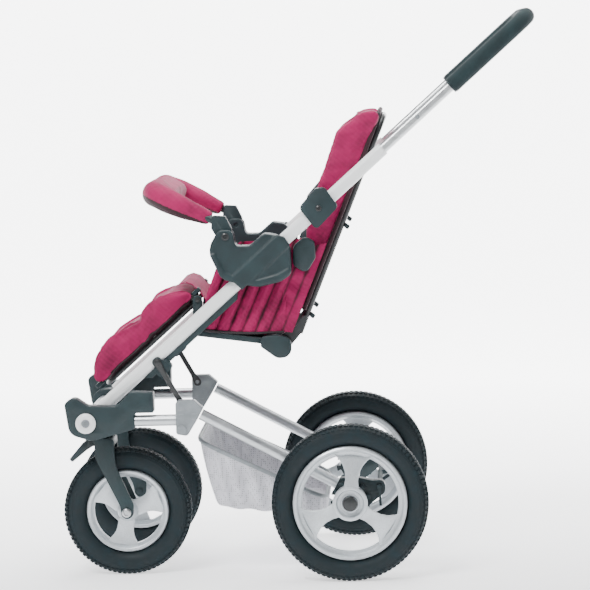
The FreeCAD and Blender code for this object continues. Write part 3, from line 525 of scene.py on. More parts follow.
def woven_polyester(name, base, spacing, darken=0.6, sheen=0.1):
    """Plain-woven polyester over foam: crossed threads, a soft sheen and creases a little darker."""
    material, tree, shader, where = start_finish(name,
                                                 {"IOR": 1.46, "Roughness": 0.78, "Sheen Weight": sheen,
                                                        "Sheen Roughness": 0.4})
    turned = stretched(tree, where, (1, 1, 1), -0.72)
    bands = 0.1 / spacing
    warp, weft, cross = (add(tree, "TexWave", {"Scale": bands, "Distortion": 0.6, "Detail": 1.0},
                             {"Vector": turned}, bands_direction=axis).outputs["Fac"] for axis in "XYZ")
    threads = add(tree, "Math", links={0: warp, 1: weft}, operation="MULTIPLY").outputs[0]
    weave = add(tree, "Math", links={0: threads, 1: cross}, operation="ADD").outputs[0]
    cloud = patches(tree, where, 0.045, 4.0, 0.5)
    fuzz = patches(tree, where, 0.0012, 2.0)
    tint = blend_colours(tree, cloud, [(0.28, shade(base, darken)), (0.5, base), (0.78, shade(base, 1.22))])
    thread = add(tree, "Mix", {"B": (*shade(base, 1.25), 1)},
                 {"Factor": ranged(tree, weave, 0, 0.3, 0.2, 1.4), "A": tint}, data_type="RGBA")
    feed(shader, "Base Color", thread.outputs["Result"])
    first = bumped(tree, shader, weave, 0.00035, 0.55)
    wrinkle = patches(tree, stretched(tree, where, (1, 2.2, 1), 0.9), 0.03, 3.0, 0.8)
    second = bumped(tree, shader, wrinkle, 0.004, 0.3, first)
    bumped(tree, shader, fuzz, 0.0003, 0.35, second)
    return material


def fold_shaded_cloth(name, base, spacing):
    """The cover cloth where it is gathered: the same weave, much darker down the valleys of the folds,
    where shade is painted.
    """
    material = woven_polyester(name, base, spacing, 0.45)
    tree = material.node_tree
    shader = next(n for n in tree.nodes if n.type == "BSDF_PRINCIPLED")
    where = next(n for n in tree.nodes if n.type == "TEX_COORD").outputs["Object"]
    woven = shader.inputs["Base Color"].links[0].from_socket
    run = add(tree, "VectorMath", {1: PLEAT_RUN}, {0: where}, operation="DOT_PRODUCT").outputs["Value"]
    shifted = add(tree, "Math", {1: PLEAT_START}, {0: run}, operation="ADD").outputs[0]
    wave = add(tree, "Math", links={0: shifted}, operation="SINE").outputs[0]
    crease = add(tree, "Math", links={0: wave}, operation="ABSOLUTE").outputs[0]
    # Noise patches that break up the painted fold shade.
    patchy = patches(tree, where, 0.03, 3.0)
    softer = add(tree, "Math", links={0: crease, 1: patchy}, operation="ADD").outputs[0]
    # Painted shade: near-black where the pleat phase puts a valley of the folds.
    fold_shade = add(tree, "Mix", {"B": (*shade(base, 0.1), 1)},
               {"Factor": ranged(tree, softer, 0.92, 0, 0.5, 1.05), "A": woven}, data_type="RGBA")
    feed(shader, "Base Color", fold_shade.outputs["Result"])
    return material


def basket_net(name, base):
    """Warp-knitted polyester net: pale, with rows of small holes 4 mm apart, painted dark as the shade seen
    through them and partly see-through, and a slight shine.
    """
    material, tree, shader, where = start_finish(name, {"IOR": 1.46, "Roughness": 0.6, "Sheen Weight": 0.2})
    holes = add(tree, "TexVoronoi", {"Scale": 1 / 0.0042, "Randomness": 0.25}, {"Vector": where})
    cloud = patches(tree, where, 0.04)
    tint = blend_colours(tree, cloud, [(0.3, shade(base, 0.86)), (0.7, shade(base, 1.06))])
    # Painted shade: the holes are darkened as the shade seen through them.
    net = add(tree, "Mix", {"A": (*shade(base, 0.5), 1)},
              {"Factor": ranged(tree, holes.outputs["Distance"], 0.15, 1, 0.16, 0.34), "B": tint},
              data_type="RGBA")
    feed(shader, "Base Color", net.outputs["Result"])
    feed(shader, "Alpha", ranged(tree, holes.outputs["Distance"], 0.35, 0.95, 0.16, 0.34))
    bumped(tree, shader, holes.outputs["Distance"], 0.0006, 0.5)
    return material


def twill_webbing(name, base):
    """Woven belt webbing: a diagonal twill with hard-wearing, slightly shiny yarn."""
    material, tree, shader, where = start_finish(name, {"IOR": 1.5, "Roughness": 0.62, "Sheen Weight": 0.2})
    twill = add(tree, "TexWave", {"Scale": 42, "Distortion": 0.4}, {"Vector": where},
                bands_direction="DIAGONAL").outputs["Fac"]
    tint = blend_colours(tree, twill, [(0.2, shade(base, 0.55)), (0.7, shade(base, 1.4))])
    feed(shader, "Base Color", tint)
    bumped(tree, shader, twill, 0.0005, 0.7)
    return material


FINISHES = {}


def make_finishes(sizes, colours):
    """One material for each finish, keyed by the record's slots and by the extra finishes of new pieces."""
    FINISHES.update({
        "dark_plastic": moulded_nylon("moulded_nylon_slate", colours.moulding),
        "grey_plastic": moulded_nylon("moulded_nylon_grey", linear("#868C90")),
        "white_plastic": gloss_abs("gloss_abs_white", linear("#F0F1F1")),
        "silver_plastic": silver_lacquer("silver_lacquer_rim", colours.silver),
        "frame_silver": anodised_tube("satin_anodised_tube", colours.tube),
        "white_lacquer": powder_coat("powder_coat_white", colours.lacquer),
        "dark_steel": powder_coat("powder_coat_black", linear("#171B1D"), 0.4),
        "bright_steel": turned_steel("zinc_plated_steel", linear("#C4C6C8")),
        "tyre": tyre_rubber("tyre_rubber", colours.tyre),
        "grip_foam": closed_foam("closed_cell_foam", colours.grip),
        "magenta_cloth": woven_polyester("woven_polyester_magenta", colours.cover, sizes.weave),
        # The gathered finish paints shade down the valleys of the folds.
        "gathered": fold_shaded_cloth("gathered_polyester_fold_shaded", colours.cover, sizes.weave),
        "bright_tube": anodised_tube("bright_anodised_tube", linear("#E6E9EA")),
        "basket_mesh": basket_net("warp_knit_net", colours.basket),
        "webbing": twill_webbing("twill_webbing", colours.webbing),
        "lining": woven_polyester("woven_lining_maroon", colours.lining, sizes.weave, 0.7, 0.15),
        "piping": woven_polyester("woven_piping_dark", linear("#2A2226"), sizes.weave * 0.6, 0.7, 0.1),
    })


# --- stage -------------------------------------------------------------------------------------------


class STROLLER_OT_stage(bpy.types.Operator):
    """Sets the camera, the pale floor with its curved back, and the soft studio lights"""
    bl_idname = "stroller.stage"
    bl_label = "Stage"

    def execute(self, context):
        floor = blank("plane", "studio_floor", location=(0, 1.0, 0), size=16)
        edited("subdivide", floor, number_cuts=30)
        level, bend = 5, 3

        def curved(p):
            past = min(max(p.y - level, 0), bend)
            return Vector((p.x, p.y, bend - math.sqrt(bend ** 2 - past ** 2)))

        moved(floor, curved)
        smooth(floor, 60)
        paper, tree, shader, where = start_finish("matt_paper", {"Specular IOR Level": 0.2})
        tint = blend_colours(tree, patches(tree, where, 0.6),
                             [(0.3, linear("#F2F3F5")), (0.7, linear("#FBFBFC"))])
        feed(shader, "Base Color", tint)
        feed(shader, "Roughness", ranged(tree, patches(tree, where, 0.05), 0.8, 0.9))
        depth = add(tree, "SeparateXYZ", links={"Vector": where}).outputs["Y"]
        shader.inputs["Emission Color"].default_value = (1, 1, 1, 1)
        feed(shader, "Emission Strength", ranged(tree, depth, 0.22, 5.5, -0.8, 3.2))
        floor.data.materials.append(paper)

        camera = bpy.data.objects.new("studio_camera", bpy.data.cameras.new("studio_camera"))
        context.scene.collection.objects.link(camera)
        camera.data.lens = 190.3
        camera.data.sensor_width = 36
        camera.data.clip_end = 100
        place, aim = Vector((0.2376, -6.2863, 1.0533)), Vector((-0.0094, 0, 0.5361))
        forward = (aim - place).normalized()
        right = forward.cross(Vector((0, 0, 1))).normalized()
        upward = right.cross(forward)
        roll = math.radians(-1.51)
        tilted = right * math.cos(roll) + upward * math.sin(roll)
        raised = upward * math.cos(roll) - right * math.sin(roll)
        camera.matrix_world = Matrix((
            (tilted.x, raised.x, -forward.x, place.x), (tilted.y, raised.y, -forward.y, place.y),
            (tilted.z, raised.z, -forward.z, place.z), (0, 0, 0, 1)))
        context.scene.camera = camera

        lamps = (("key", (-1.6, -3.2, 4.0), 2.0, 255), ("fill", (3.4, -3.4, 1.4), 2.5, 26),
                 ("top", (0.3, 0.6, 4.4), 3.0, 240), ("back", (0.6, 3.6, 2.6), 3.0, 40))
        for name, spot, width, power in lamps:
            lamp = bpy.data.objects.new(f"softbox_{name}", bpy.data.lights.new(f"softbox_{name}", "AREA"))
            lamp.data.shape = "SQUARE"
            lamp.data.size = width
            lamp.data.energy = power
            lamp.location = spot
            lamp.rotation_euler = (Vector((0, 0, 0.45)) - Vector(spot)).to_track_quat("-Z", "Y").to_euler()
            context.scene.collection.objects.link(lamp)
        world = bpy.data.worlds.new("studio_air")
        world.use_nodes = True
        sky = world.node_tree.nodes["Background"]
        sky.inputs["Color"].default_value = (0.95, 0.97, 1.0, 1)
        sky.inputs["Strength"].default_value = 0.32
        context.scene.world = world
        make_finishes(context.scene.stroller_sizes, context.scene.stroller_colours)
        return {"FINISHED"}


# --- wheels ------------------------------------------------------------------------------------------


def tyre(name, axle, radius, rim_radius, width, blocks, tread):
    """A tyre spun from its section, with shoulder blocks and a centre rib of smaller blocks."""
    high = radius - tread - rim_radius
    middle = rim_radius + high / 2
    carcass = blank("circle", name, vertices=36, radius=1, fill_type="NOTHING")

    def section(p):
        across = math.copysign(abs(p.y) ** 0.75, p.y) * width / 2
        up = math.copysign(abs(p.x) ** 0.8, p.x) * high / 2
        bead = 1 - 0.22 * max(0.0, -p.x) ** 2
        return Vector((axle.x + middle + up, axle.y + across * bead, axle.z))

    moved(carcass, section)
    choose(carcass)
    bpy.context.tool_settings.mesh_select_mode = (True, False, False)
    bpy.ops.object.mode_set(mode="EDIT")
    bpy.ops.mesh.select_all(action="SELECT")
    bpy.ops.mesh.spin(steps=108, angle=2 * math.pi, center=axle, axis=(0, 1, 0))
    done()
    outward(carcass)
    parts = [carcass]
    # Offset and width as shares of the tyre's, turn in pitches, reach, and length as a share of a pitch.
    rows = ((0.0, 0.16, 0.0, 1.0, 0.72), (-0.25, 0.15, 0.5, 0.998, 0.72), (0.25, 0.15, 0.5, 0.998, 0.72),
            (-0.42, 0.13, 0.0, 0.968, 0.68), (0.42, 0.13, 0.0, 0.968, 0.68))
    for offset, share, turn, reach, run in rows:
        pitch = 2 * math.pi / blocks
        block = blank("cube", "block", size=1, scale=(tread * 2.6, width * share, radius * pitch * run),
                      location=(radius * reach - tread * 1.3 - 0.0002, 0, 0))
        edited("bevel", block, lambda face: face.normal.x > 0.5, offset=tread * 0.4, segments=1)
        slope = math.copysign(math.radians(34), offset) if abs(offset) > 0.4 else 0
        arc = Matrix.Rotation(pitch * turn, 4, "Y")
        about = Vector((radius * reach - tread, 0, 0))
        tip = Matrix.Translation(about) @ Matrix.Rotation(slope, 4, "Z") @ Matrix.Translation(-about)
        placed(block, Matrix.Translation(axle) @ arc @ Matrix.Translation((0, width * offset, 0)) @ tip)
        editing(block)
        bpy.ops.mesh.spin(steps=blocks - 1, angle=2 * math.pi * (blocks - 1) / blocks, center=axle,
                          axis=(0, 1, 0), dupli=True)
        done()
        parts.append(block)
    for out in (-1, 1):
        parts.append(spun("line", [
            (rim_radius + high * 0.60, width * 0.476), (rim_radius + high * 0.64, width * 0.499),
            (rim_radius + high * 0.69, width * 0.494), (rim_radius + high * 0.72, width * 0.460),
        ], axle, out, 108))
    whole = joined(name, parts[::-1])
    return smooth(whole, 32)


class STROLLER_OT_tyres(bpy.types.Operator):
    """Makes the four air tyres with their tread"""
    bl_idname = "stroller.tyres"
    bl_label = "Tyres"

    def execute(self, context):
        sizes = context.scene.stroller_sizes
        for side, sign in SIDES:
            rear = tyre(f"rear_tyre_{side}_tread",
                        Vector((REAR_AXLE.x, sign * REAR_HALF_TRACK, REAR_AXLE.z)), 0.153, 0.111,
                        0.050, sizes.rear_lugs, sizes.tread_depth)
            fit_out(rear, f"rear_wheel_{side}", "tyre", [f"rear_tyre_{side}"])
            front = tyre(f"front_tyre_{side}_tread",
                         Vector((FRONT_AXLE.x, sign * FRONT_HALF_TRACK, FRONT_AXLE.z)), 0.127,
                         0.081, 0.046, sizes.front_lugs, sizes.tread_depth)
            fit_out(front, f"front_wheel_{side}", "tyre", [f"front_tyre_{side}"])
        return {"FINISHED"}


def screw_head(name, centre, sign, radius, height):
    """A domed hexagon-socket screw head whose axis lies along Y."""
    head = blank("cylinder", name, vertices=24, radius=radius, depth=height, location=(0, 0, height / 2))
    edited("bevel", head, lambda face: face.normal.z > 0.5, offset=height * 0.35, segments=2)
    editing(head, lambda face: face.normal.z > 0.9 and face.center.z > height * 0.9)
    bpy.ops.mesh.inset(thickness=radius * 0.38, depth=0)
    bpy.ops.mesh.extrude_region_move(TRANSFORM_OT_translate={"value": (0, 0, -height * 0.6)})
    done()
    placed(head, Matrix.Translation(centre) @ Matrix.Rotation(-sign * math.pi / 2, 4, "X"))
    return smooth(outward(head), 35)


def spun(name, section, centre, sign, steps=96):
    """A ring spun around a wheel's axis; its section is (radius, outward distance) points in metres."""
    ring = blank("circle", name, vertices=len(section), radius=1, fill_type="NOTHING")
    for vertex, (radius, out) in zip(ring.data.vertices, section):
        vertex.co = (centre.x + radius, centre.y + sign * out, centre.z)
    choose(ring)
    bpy.context.tool_settings.mesh_select_mode = (True, False, False)
    bpy.ops.object.mode_set(mode="EDIT")
    bpy.ops.mesh.select_all(action="SELECT")
    bpy.ops.mesh.spin(steps=steps, angle=2 * math.pi, center=centre, axis=(0, 1, 0))
    done()
    return smooth(outward(ring), 28)


def rear_rim(side, sign):
    """A deep rear rim: stepped channel, three dished spokes that narrow at the hub, and the hub's ring."""
    centre = Vector((REAR_AXLE.x, sign * REAR_HALF_TRACK, REAR_AXLE.z))
    channel = spun("channel", [
        (0.1117, -0.0165), (0.1117, 0.0165), (0.1104, 0.0205), (0.1075, 0.0224), (0.1045, 0.0222),
        (0.1022, 0.0196), (0.1010, 0.0140), (0.0985, 0.0128), (0.0952, 0.0126), (0.0940, 0.0112),
        (0.0938, 0.0050), (0.0965, 0.0010), (0.0970, -0.0080), (0.1010, -0.0140), (0.1022, -0.0196),
        (0.1045, -0.0222), (0.1075, -0.0224), (0.1104, -0.0205),
    ], centre, sign)
    hub = spun("hub", [
        (0.0062, -0.0235), (0.0270, -0.0235), (0.0300, -0.0210), (0.0325, -0.0120), (0.0335, 0.0160),
        (0.0342, 0.0210), (0.0332, 0.0232), (0.0300, 0.0240), (0.0272, 0.0236), (0.0258, 0.0218),
        (0.0246, 0.0180), (0.0190, 0.0172), (0.0176, 0.0196), (0.0160, 0.0200), (0.0146, 0.0188),
        (0.0138, 0.0150), (0.0062, 0.0148),
    ], centre, sign)
    parts = [channel, hub]
    half_outline = [(0.0290, 0.0150), (0.0440, 0.0125), (0.0600, 0.0140), (0.0740, 0.0195),
                    (0.0850, 0.0280),
                    (0.0920, 0.0370), (0.0950, 0.0395)]
    outline = half_outline + [(0.0980, 0.0)] + [(r, -w) for r, w in half_outline[::-1]]

    def dished(p):
        """Stands the spoke near the outer face, leans it in towards the rim and hollows its middle."""
        lean = 0.115 * max(0.0, p.x - 0.03)
        hollow = 0.9 * max(0.0, 0.012 - abs(p.z)) * (p.x > 0.04)
        return Vector((p.x, sign * (p.y + 0.0165 - lean - hollow), p.z))

    for turn in (205, 325, 85):
        spoke = outline_slab("spoke", outline, 0.010, 0)
        edited("bevel", spoke, offset=0.0022, segments=3, affect="EDGES", clamp_overlap=True)
        moved(spoke, dished)
        placed(spoke, Matrix.Translation(centre) @ Matrix.Rotation(-math.radians(turn), 4, "Y"))
        parts.append(smooth(outward(spoke), 30))
    whole = joined(f"rear_rim_{side}_cast", parts[::-1])
    fit_out(whole, f"rear_wheel_{side}", "silver_plastic", [f"rear_rim_{side}"])
    cap = spun(f"rear_hub_cap_{side}", [
        (0.0005, 0.0140), (0.0128, 0.0140), (0.0128, 0.0176), (0.0112, 0.0192), (0.0060, 0.0206),
        (0.0005, 0.0210),
    ], centre, sign, 48)
    fit_out(cap, f"rear_wheel_{side}", "dark_plastic")


class STROLLER_OT_rims(bpy.types.Operator):
    """Makes the cast rims, their hub rings and the brake rings"""
    bl_idname = "stroller.rims"
    bl_label = "Rims and hubs"

    def execute(self, context):
        edge = context.scene.stroller_sizes.edge
        for side, sign in SIDES:
            rear_rim(side, sign)
            for node in (f"front_rim_{side}", f"brake_ring_{side}"):
                piece = rounded_node(node, node + "_cast", edge * (0.8 if "rim" in node else 0.4))
                fit_out(piece, body_of(node), slot_of(node), [node])
            valve = blank("cylinder", f"rear_valve_{side}", vertices=16, radius=0.0032, depth=0.02)
            edited("bevel", valve, lambda face: abs(face.normal.z) > 0.5, offset=0.0012, segments=2)
            where = Vector((math.cos(0.6), 0, math.sin(0.6))) * 0.088
            turn = Vector((0, 0, 1)).rotation_difference(-where.normalized()).to_matrix().to_4x4()
            middle = Vector((REAR_AXLE.x, sign * (REAR_HALF_TRACK + 0.003), REAR_AXLE.z))
            placed(valve, Matrix.Translation(middle + where) @ turn)
            smooth(valve, 40)
            fit_out(valve, f"rear_wheel_{side}", "tyre")
        return {"FINISHED"}


# --- chassis -----------------------------------------------------------------------------------------


class STROLLER_OT_mouldings(bpy.types.Operator):
    """Rounds the edges of the chassis, fork and bar mouldings"""
    bl_idname = "stroller.mouldings"
    bl_label = "Mouldings"

    def execute(self, context):
        edge = context.scene.stroller_sizes.edge
        rounding = {
            "front_knuckle_left": 2.4, "front_knuckle_right": 2.4, "steering_heads": 2.2,
            "rail_brackets": 1.8,
            "rear_carriers": 1.8, "fork_left": 1.0, "fork_right": 1.0, "swivel_lock_left": 0.8,
            "swivel_lock_right": 0.8, "bar_heels": 1.4, "fold_collar_left": 2.0, "fold_collar_right": 2.0,
            "fold_sliders": 0.8, "seat_knuckles": 2.2, "recline_catches": 2.0, "brake_pedal": 0.6,
            "fold_struts": 0.4, "seat_base": 0.9, "back_hooks": 0.5, "fold_tracks": 0.8, "bumper_bar": 0.8,
        }
        for node, share in rounding.items():
            piece = rounded_node(node, node + "_moulded", edge * share)
            fit_out(piece, body_of(node), slot_of(node), [node])
        ends = rounded_node("stub_axles", "stub_axles_capped", edge * 0.5)
        fit_out(ends, "chassis", "dark_steel", ["stub_axles"])
        for side, sign in SIDES:
            screws = (
                ("pivot_screw", (PIVOT.x, sign * 0.2445, PIVOT.z), 0.0078, 0.0032, "chassis",
                 "grey_plastic"),
                ("strut_screw", (-0.2275, sign * 0.2136, 0.341), 0.0062, 0.0028, "chassis", "bright_steel"),
                ("axle_nut", (FRONT_AXLE.x, sign * 0.1895, FRONT_AXLE.z), 0.0092, 0.005, f"fork_{side}",
                 "bright_steel"),
                ("collar_screw", ON_BAR @ Vector((0.62, sign * 0.2138, 0)), 0.006, 0.0028, f"collar_{side}",
                 "dark_steel"),
            )
            for name, centre, radius, height, body, slot in screws:
                fit_out(screw_head(f"{name}_{side}", Vector(centre), sign, radius, height), body, slot)
        return {"FINISHED"}


def outline_slab(name, points, width, middle):
    """A slab whose side outline is given as (x, z) points, standing across Y."""
    slab = blank("circle", name, vertices=len(points), radius=1, fill_type="NGON")
    for vertex, (x, z) in zip(slab.data.vertices, points):
        vertex.co = (x, middle - width / 2, z)
    edited("extrude_region_move", slab, TRANSFORM_OT_translate={"value": (0, width, 0)})
    return outward(slab)


class STROLLER_OT_brackets(bpy.types.Operator):
    """Makes the boat-shaped seat brackets that saddle the push bars"""
    bl_idname = "stroller.brackets"
    bl_label = "Seat brackets"

    def execute(self, context):
        for side, sign in SIDES:
            body = node_copy(f"seat_bracket_{side}", f"seat_bracket_{side}_shell")
            ridge = outline_slab("ridge",
                                 [(0.402, -0.016), (0.53, -0.016), (0.533, 0.004), (0.526, 0.017),
                                  (0.41, 0.017),
                                           (0.4, 0.004)], 0.014, sign * 0.2135)
            placed(ridge, ON_BAR)
            rim = outline_slab("rim",
                               [(-0.166, 0.636), (-0.146, 0.592), (-0.112, 0.577), (-0.072, 0.573),
                                (-0.03, 0.583),
                                       (-0.01, 0.598), (-0.012, 0.606), (-0.034, 0.594), (-0.074, 0.584),
                                       (-0.108, 0.588), (-0.138, 0.601), (-0.156, 0.638)], 0.01,
                                       sign * 0.2145)
            shell = joined(f"seat_bracket_{side}_shell", [ridge, rim, body])
            finished(shell, "REMESH", mode="VOXEL", voxel_size=0.0016)
            finished(shell, "SMOOTH", factor=0.5, iterations=9)
            finished(shell, "DECIMATE", ratio=0.5)
            smooth(shell, 50)
            fit_out(shell, "seat", "dark_plastic", [f"seat_bracket_{side}"])
            screw = screw_head(f"bracket_screw_{side}", Vector((-0.1345, sign * 0.2168, 0.671)), sign,
                               0.0075, 0.003)
            fit_out(screw, "seat", "dark_steel")
        return {"FINISHED"}


# --- covers ------------------------------------------------------------------------------------------


def puffed(piece, pull, swell, voxel):
    """Blows a cover up over its foam: it shrinks a little, swells as cloth, and may move only so far."""
    settling = 20
    centre = sum((Vector(c) for c in piece.bound_box), Vector()) / 8
    moved(piece, lambda p: centre + (p - centre) * (1 - pull))
    finished(piece, "REMESH", mode="VOXEL", voxel_size=voxel)
    start = [v.co.copy() for v in piece.data.vertices]
    choose(piece)
    cloth = piece.modifiers.new("cover", "CLOTH")
    cloth.settings.use_pressure = True
    cloth.settings.uniform_pressure_force = 4.0
    cloth.settings.quality = 5
    cloth.settings.mass = 0.3
    cloth.settings.tension_stiffness = 12
    cloth.settings.compression_stiffness = 12
    cloth.settings.bending_stiffness = 0.5
    cloth.settings.effector_weights.gravity = 0
    cloth.collision_settings.use_collision = False
    cloth.point_cache.frame_start = 1
    cloth.point_cache.frame_end = settling
    for step in range(1, settling + 1):
        bpy.context.scene.frame_set(step)
    bpy.ops.object.modifier_apply(modifier=cloth.name)
    bpy.context.scene.frame_set(1)
    for vertex, first in zip(piece.data.vertices, start):
        shift = vertex.co - first
        if shift.length > swell:
            vertex.co = first + shift.normalized() * swell
    finished(piece, "SMOOTH", factor=0.5, iterations=3)
    return piece


def sewn(piece, seams, depth, width):
    """Pulls the cover in along seams; each seam is a distance function of a point."""
    piece.data.update()
    normals = [v.normal.copy() for v in piece.data.vertices]
    for vertex, normal in zip(piece.data.vertices, normals):
        pull = sum(math.exp(-(seam(vertex.co) / width) ** 2) for seam in seams)
        vertex.co -= normal * depth * min(pull, 1.2)
    piece.data.update()
    return piece


def creased(piece, depth, size, seed):
    """Fine creases that run where the cloth is drawn in."""
    piece.data.update()
    for vertex in piece.data.vertices:
        spot = Vector((vertex.co.x, vertex.co.y * 0.6, vertex.co.z)) / size + Vector((seed, seed * 2, 0))
        vertex.co += vertex.normal * depth * noise.noise(spot)
    piece.data.update()
    return piece


def covered(piece, under):
    """Smooths a cover and paints it, with the dark lining on the faces that a test picks."""
    finished(piece, "SUBSURF", levels=1, render_levels=1)
    for finish in ("magenta_cloth", "lining"):
        piece.data.materials.append(FINISHES[finish])
    for face in piece.data.polygons:
        if under(face):
            face.material_index = 1
    return smooth(piece, 180)


class STROLLER_OT_leg_rest(bpy.types.Operator):
    """Makes the padded leg rest with its two rolls, dark underside and end tabs"""
    bl_idname = "stroller.leg_rest"
    bl_label = "Leg rest"

    def execute(self, context):
        sizes = context.scene.stroller_sizes
        back = ON_BAR.inverted()
        pad = node_copy("leg_rest_pad", "leg_rest_cover")
        puffed(pad, 0.035, sizes.swell, sizes.voxel)
        roll_seam, welt_line, welt_reach = 0.199, 0.118, 0.012

        def welts(p):
            """Leaves raised welts beside a seam on each side, and draws the rest of the cover in."""
            off = abs(abs(p.y) - welt_line)
            return off if off < welt_reach else 0.0

        sewn(pad, [lambda p: (back @ p).x - roll_seam, welts], 0.006, 0.007)
        creased(pad, 0.0022, 0.035, 3)
        covered(pad, lambda face: (back @ face.center).z < 0.042
                and (back.to_3x3() @ face.normal).z < -0.35)
        fit_out(pad, "leg_rest", "magenta_cloth", ["leg_rest_pad"])
        # The leg rest's tube gets the black powder coat instead of the silver of its slot, as painted shade
        # between the pad and the push bar.
        tube = rounded_node("leg_rest_frame", "leg_rest_frame_painted_shade", 0.0008)
        fit_out(tube, "leg_rest", "dark_steel", ["leg_rest_frame"])
        for side, sign in SIDES:
            for k, (u, v) in enumerate(((0.056, 0.036), (0.322, 0.041))):
                tab = blank("cube", f"leg_rest_tab{k}_{side}", size=1, scale=(0.02, 0.024, 0.009),
                            location=(u, sign * 0.112, v))
                editing(tab)
                bpy.ops.mesh.subdivide(number_cuts=2)
                bpy.ops.mesh.bevel(offset=0.0012, segments=1)
                done()
                finished(tab, "SUBSURF", levels=1, render_levels=1)
                placed(tab, ON_BAR)
                smooth(tab, 60)
                fit_out(tab, "leg_rest", "dark_plastic")
        return {"FINISHED"}


class STROLLER_OT_seat_cushion(bpy.types.Operator):
    """Makes the seat cushion with its sewn channels"""
    bl_idname = "stroller.seat_cushion"
    bl_label = "Seat cushion"

    def execute(self, context):
        sizes = context.scene.stroller_sizes
        pad = node_copy("seat_cushion", "seat_cushion_cover")
        puffed(pad, 0.03, sizes.swell, sizes.voxel)
        seams = [lambda p: p.x + 0.075, lambda p: abs(p.y) - 0.075]
        sewn(pad, seams, 0.005, 0.006)
        creased(pad, 0.0018, 0.03, 11)
        covered(pad, lambda face: face.normal.z < -0.4)
        fit_out(pad, "seat", "magenta_cloth", ["seat_cushion"])
        return {"FINISHED"}


class STROLLER_OT_back_cushion(bpy.types.Operator):
    """Makes the bucket back cushion with side wings and sewn channels"""
    bl_idname = "stroller.back_cushion"
    bl_label = "Back cushion"

    def execute(self, context):
        sizes = context.scene.stroller_sizes
        back = ON_BACK.inverted()
        pad = node_copy("back_cushion", "back_cushion_cover")
        puffed(pad, 0.02, sizes.swell * 0.9, sizes.voxel)

        def inner_channel(at):
            return lambda p: (back @ p).x - at if abs(p.y) < 0.13 else 1.0

        seams = [inner_channel(s) for s in (0.16, 0.25, 0.345)]
        seams.append(lambda p: abs(abs(p.y) - 0.132))
        sewn(pad, seams, 0.0045, 0.006)
        creased(pad, 0.0026, 0.04, 23)

        def gathers(p):
            q = back @ p
            if abs(p.y) < 0.145:
                return p
            fold = math.sin(q.x * 150 + q.z * 60) * 0.0016
            return Vector((p.x, p.y + math.copysign(fold, p.y), p.z))

        moved(pad, gathers)
        covered(pad, lambda face: (back.to_3x3() @ face.normal).z < -0.75 and abs(face.center.y) < 0.13)
        fit_out(pad, "back", "magenta_cloth", ["back_cushion"])
        for side, sign in SIDES:
            edge_line = [ON_BACK @ Vector((s, sign * y, w)) for s, y, w in (
                (0.070, 0.150, 0.0150), (0.16, 0.152, 0.0145), (0.28, 0.152, 0.0145),
                (0.40, 0.150, 0.0150),
                (0.468, 0.142, 0.0160), (0.486, 0.118, 0.0165), (0.488, 0.06, 0.0165),
                (0.488, 0.0, 0.0165))]
            roll = bent_tube(f"back_edge_roll_{side}", edge_line, 0.0048)
            fit_out(roll, "back", "magenta_cloth", finish="lining")
            gusset = blank("grid", f"side_gusset_{side}", x_subdivisions=24, y_subdivisions=40, size=1)

            def stretch(p):
                t, h = p.x + 0.5, p.y + 0.5
                front = Vector((-0.030, 0, 0.479)).lerp(Vector((-0.024, 0, 0.636)), h)
                rear = ON_BACK @ Vector((0.020 + 0.190 * h, 0, 0.020))
                wave = math.sin(h * 26 + t * 5) * math.sin(math.pi * t)
                spot = front.lerp(rear, t)
                return Vector((spot.x, sign * (0.1655 - 0.003 * t + 0.0022 * wave), spot.z))

            moved(gusset, stretch)
            finished(gusset, "SOLIDIFY", thickness=0.0014, offset=0)
            smooth(outward(gusset), 60)
            # The gathered finish paints shade in stripes along the side cloth's pleat phase.
            gusset.data.materials.append(FINISHES["gathered"])
            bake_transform(gusset)
        return {"FINISHED"}


class STROLLER_OT_side_cloth(bpy.types.Operator):
    """Makes the gathered side cloths that hang from the brackets to the seat's edge"""
    bl_idname = "stroller.side_cloth"
    bl_label = "Side cloths"

    def execute(self, context):
        pleat = context.scene.stroller_sizes.pleat
        top = [(-0.176, 0.556), (-0.158, 0.604), (-0.128, 0.636), (-0.07, 0.638), (-0.012, 0.632)]
        bottom = [(-0.193, 0.485), (-0.152, 0.479), (-0.11, 0.476), (-0.07, 0.475), (-0.026, 0.476)]

        def along(points, t):
            k = min(int(t * (len(points) - 1)), len(points) - 2)
            f = t * (len(points) - 1) - k
            return [points[k][i] * (1 - f) + points[k + 1][i] * f for i in (0, 1)]

        for side, sign in SIDES:
            cloth = blank("grid", f"side_cloth_{side}", x_subdivisions=140, y_subdivisions=60, size=1)

            def hang(p):
                t, h = p.x + 0.5, p.y + 0.5
                a, b = along(bottom, t), along(top, t)
                x, z = (a[i] * (1 - h) + b[i] * h for i in (0, 1))
                crease = abs(math.sin(PLEAT_RUN.dot(Vector((x, 0, z))) + PLEAT_START))
                edges = math.sin(math.pi * min(1, max(0, h * 0.94 + 0.03))) ** 0.5
                out = pleat * edges * (1.5 * crease ** 0.8 - 0.7)
                out += 0.0006 * edges * math.sin(PLEAT_RUN.dot(Vector((x, 0, z))) * 4.3)
                return Vector((x, sign * (0.1635 + out), z))

            moved(cloth, hang)
            finished(cloth, "SOLIDIFY", thickness=0.0016, offset=0)
            smooth(outward(cloth), 60)
            # Its gathered finish paints shade down the pleat valleys, in phase with the mesh's folds.
            fit_out(cloth, "seat", "magenta_cloth", [f"side_panel_{side}"], "gathered")
            binding = bent_tube(f"side_binding_{side}",
                                [Vector((x, sign * 0.1672, z + 0.001)) for x, z in bottom], 0.0026)
            fit_out(binding, "seat", "magenta_cloth", finish="piping")
        return {"FINISHED"}


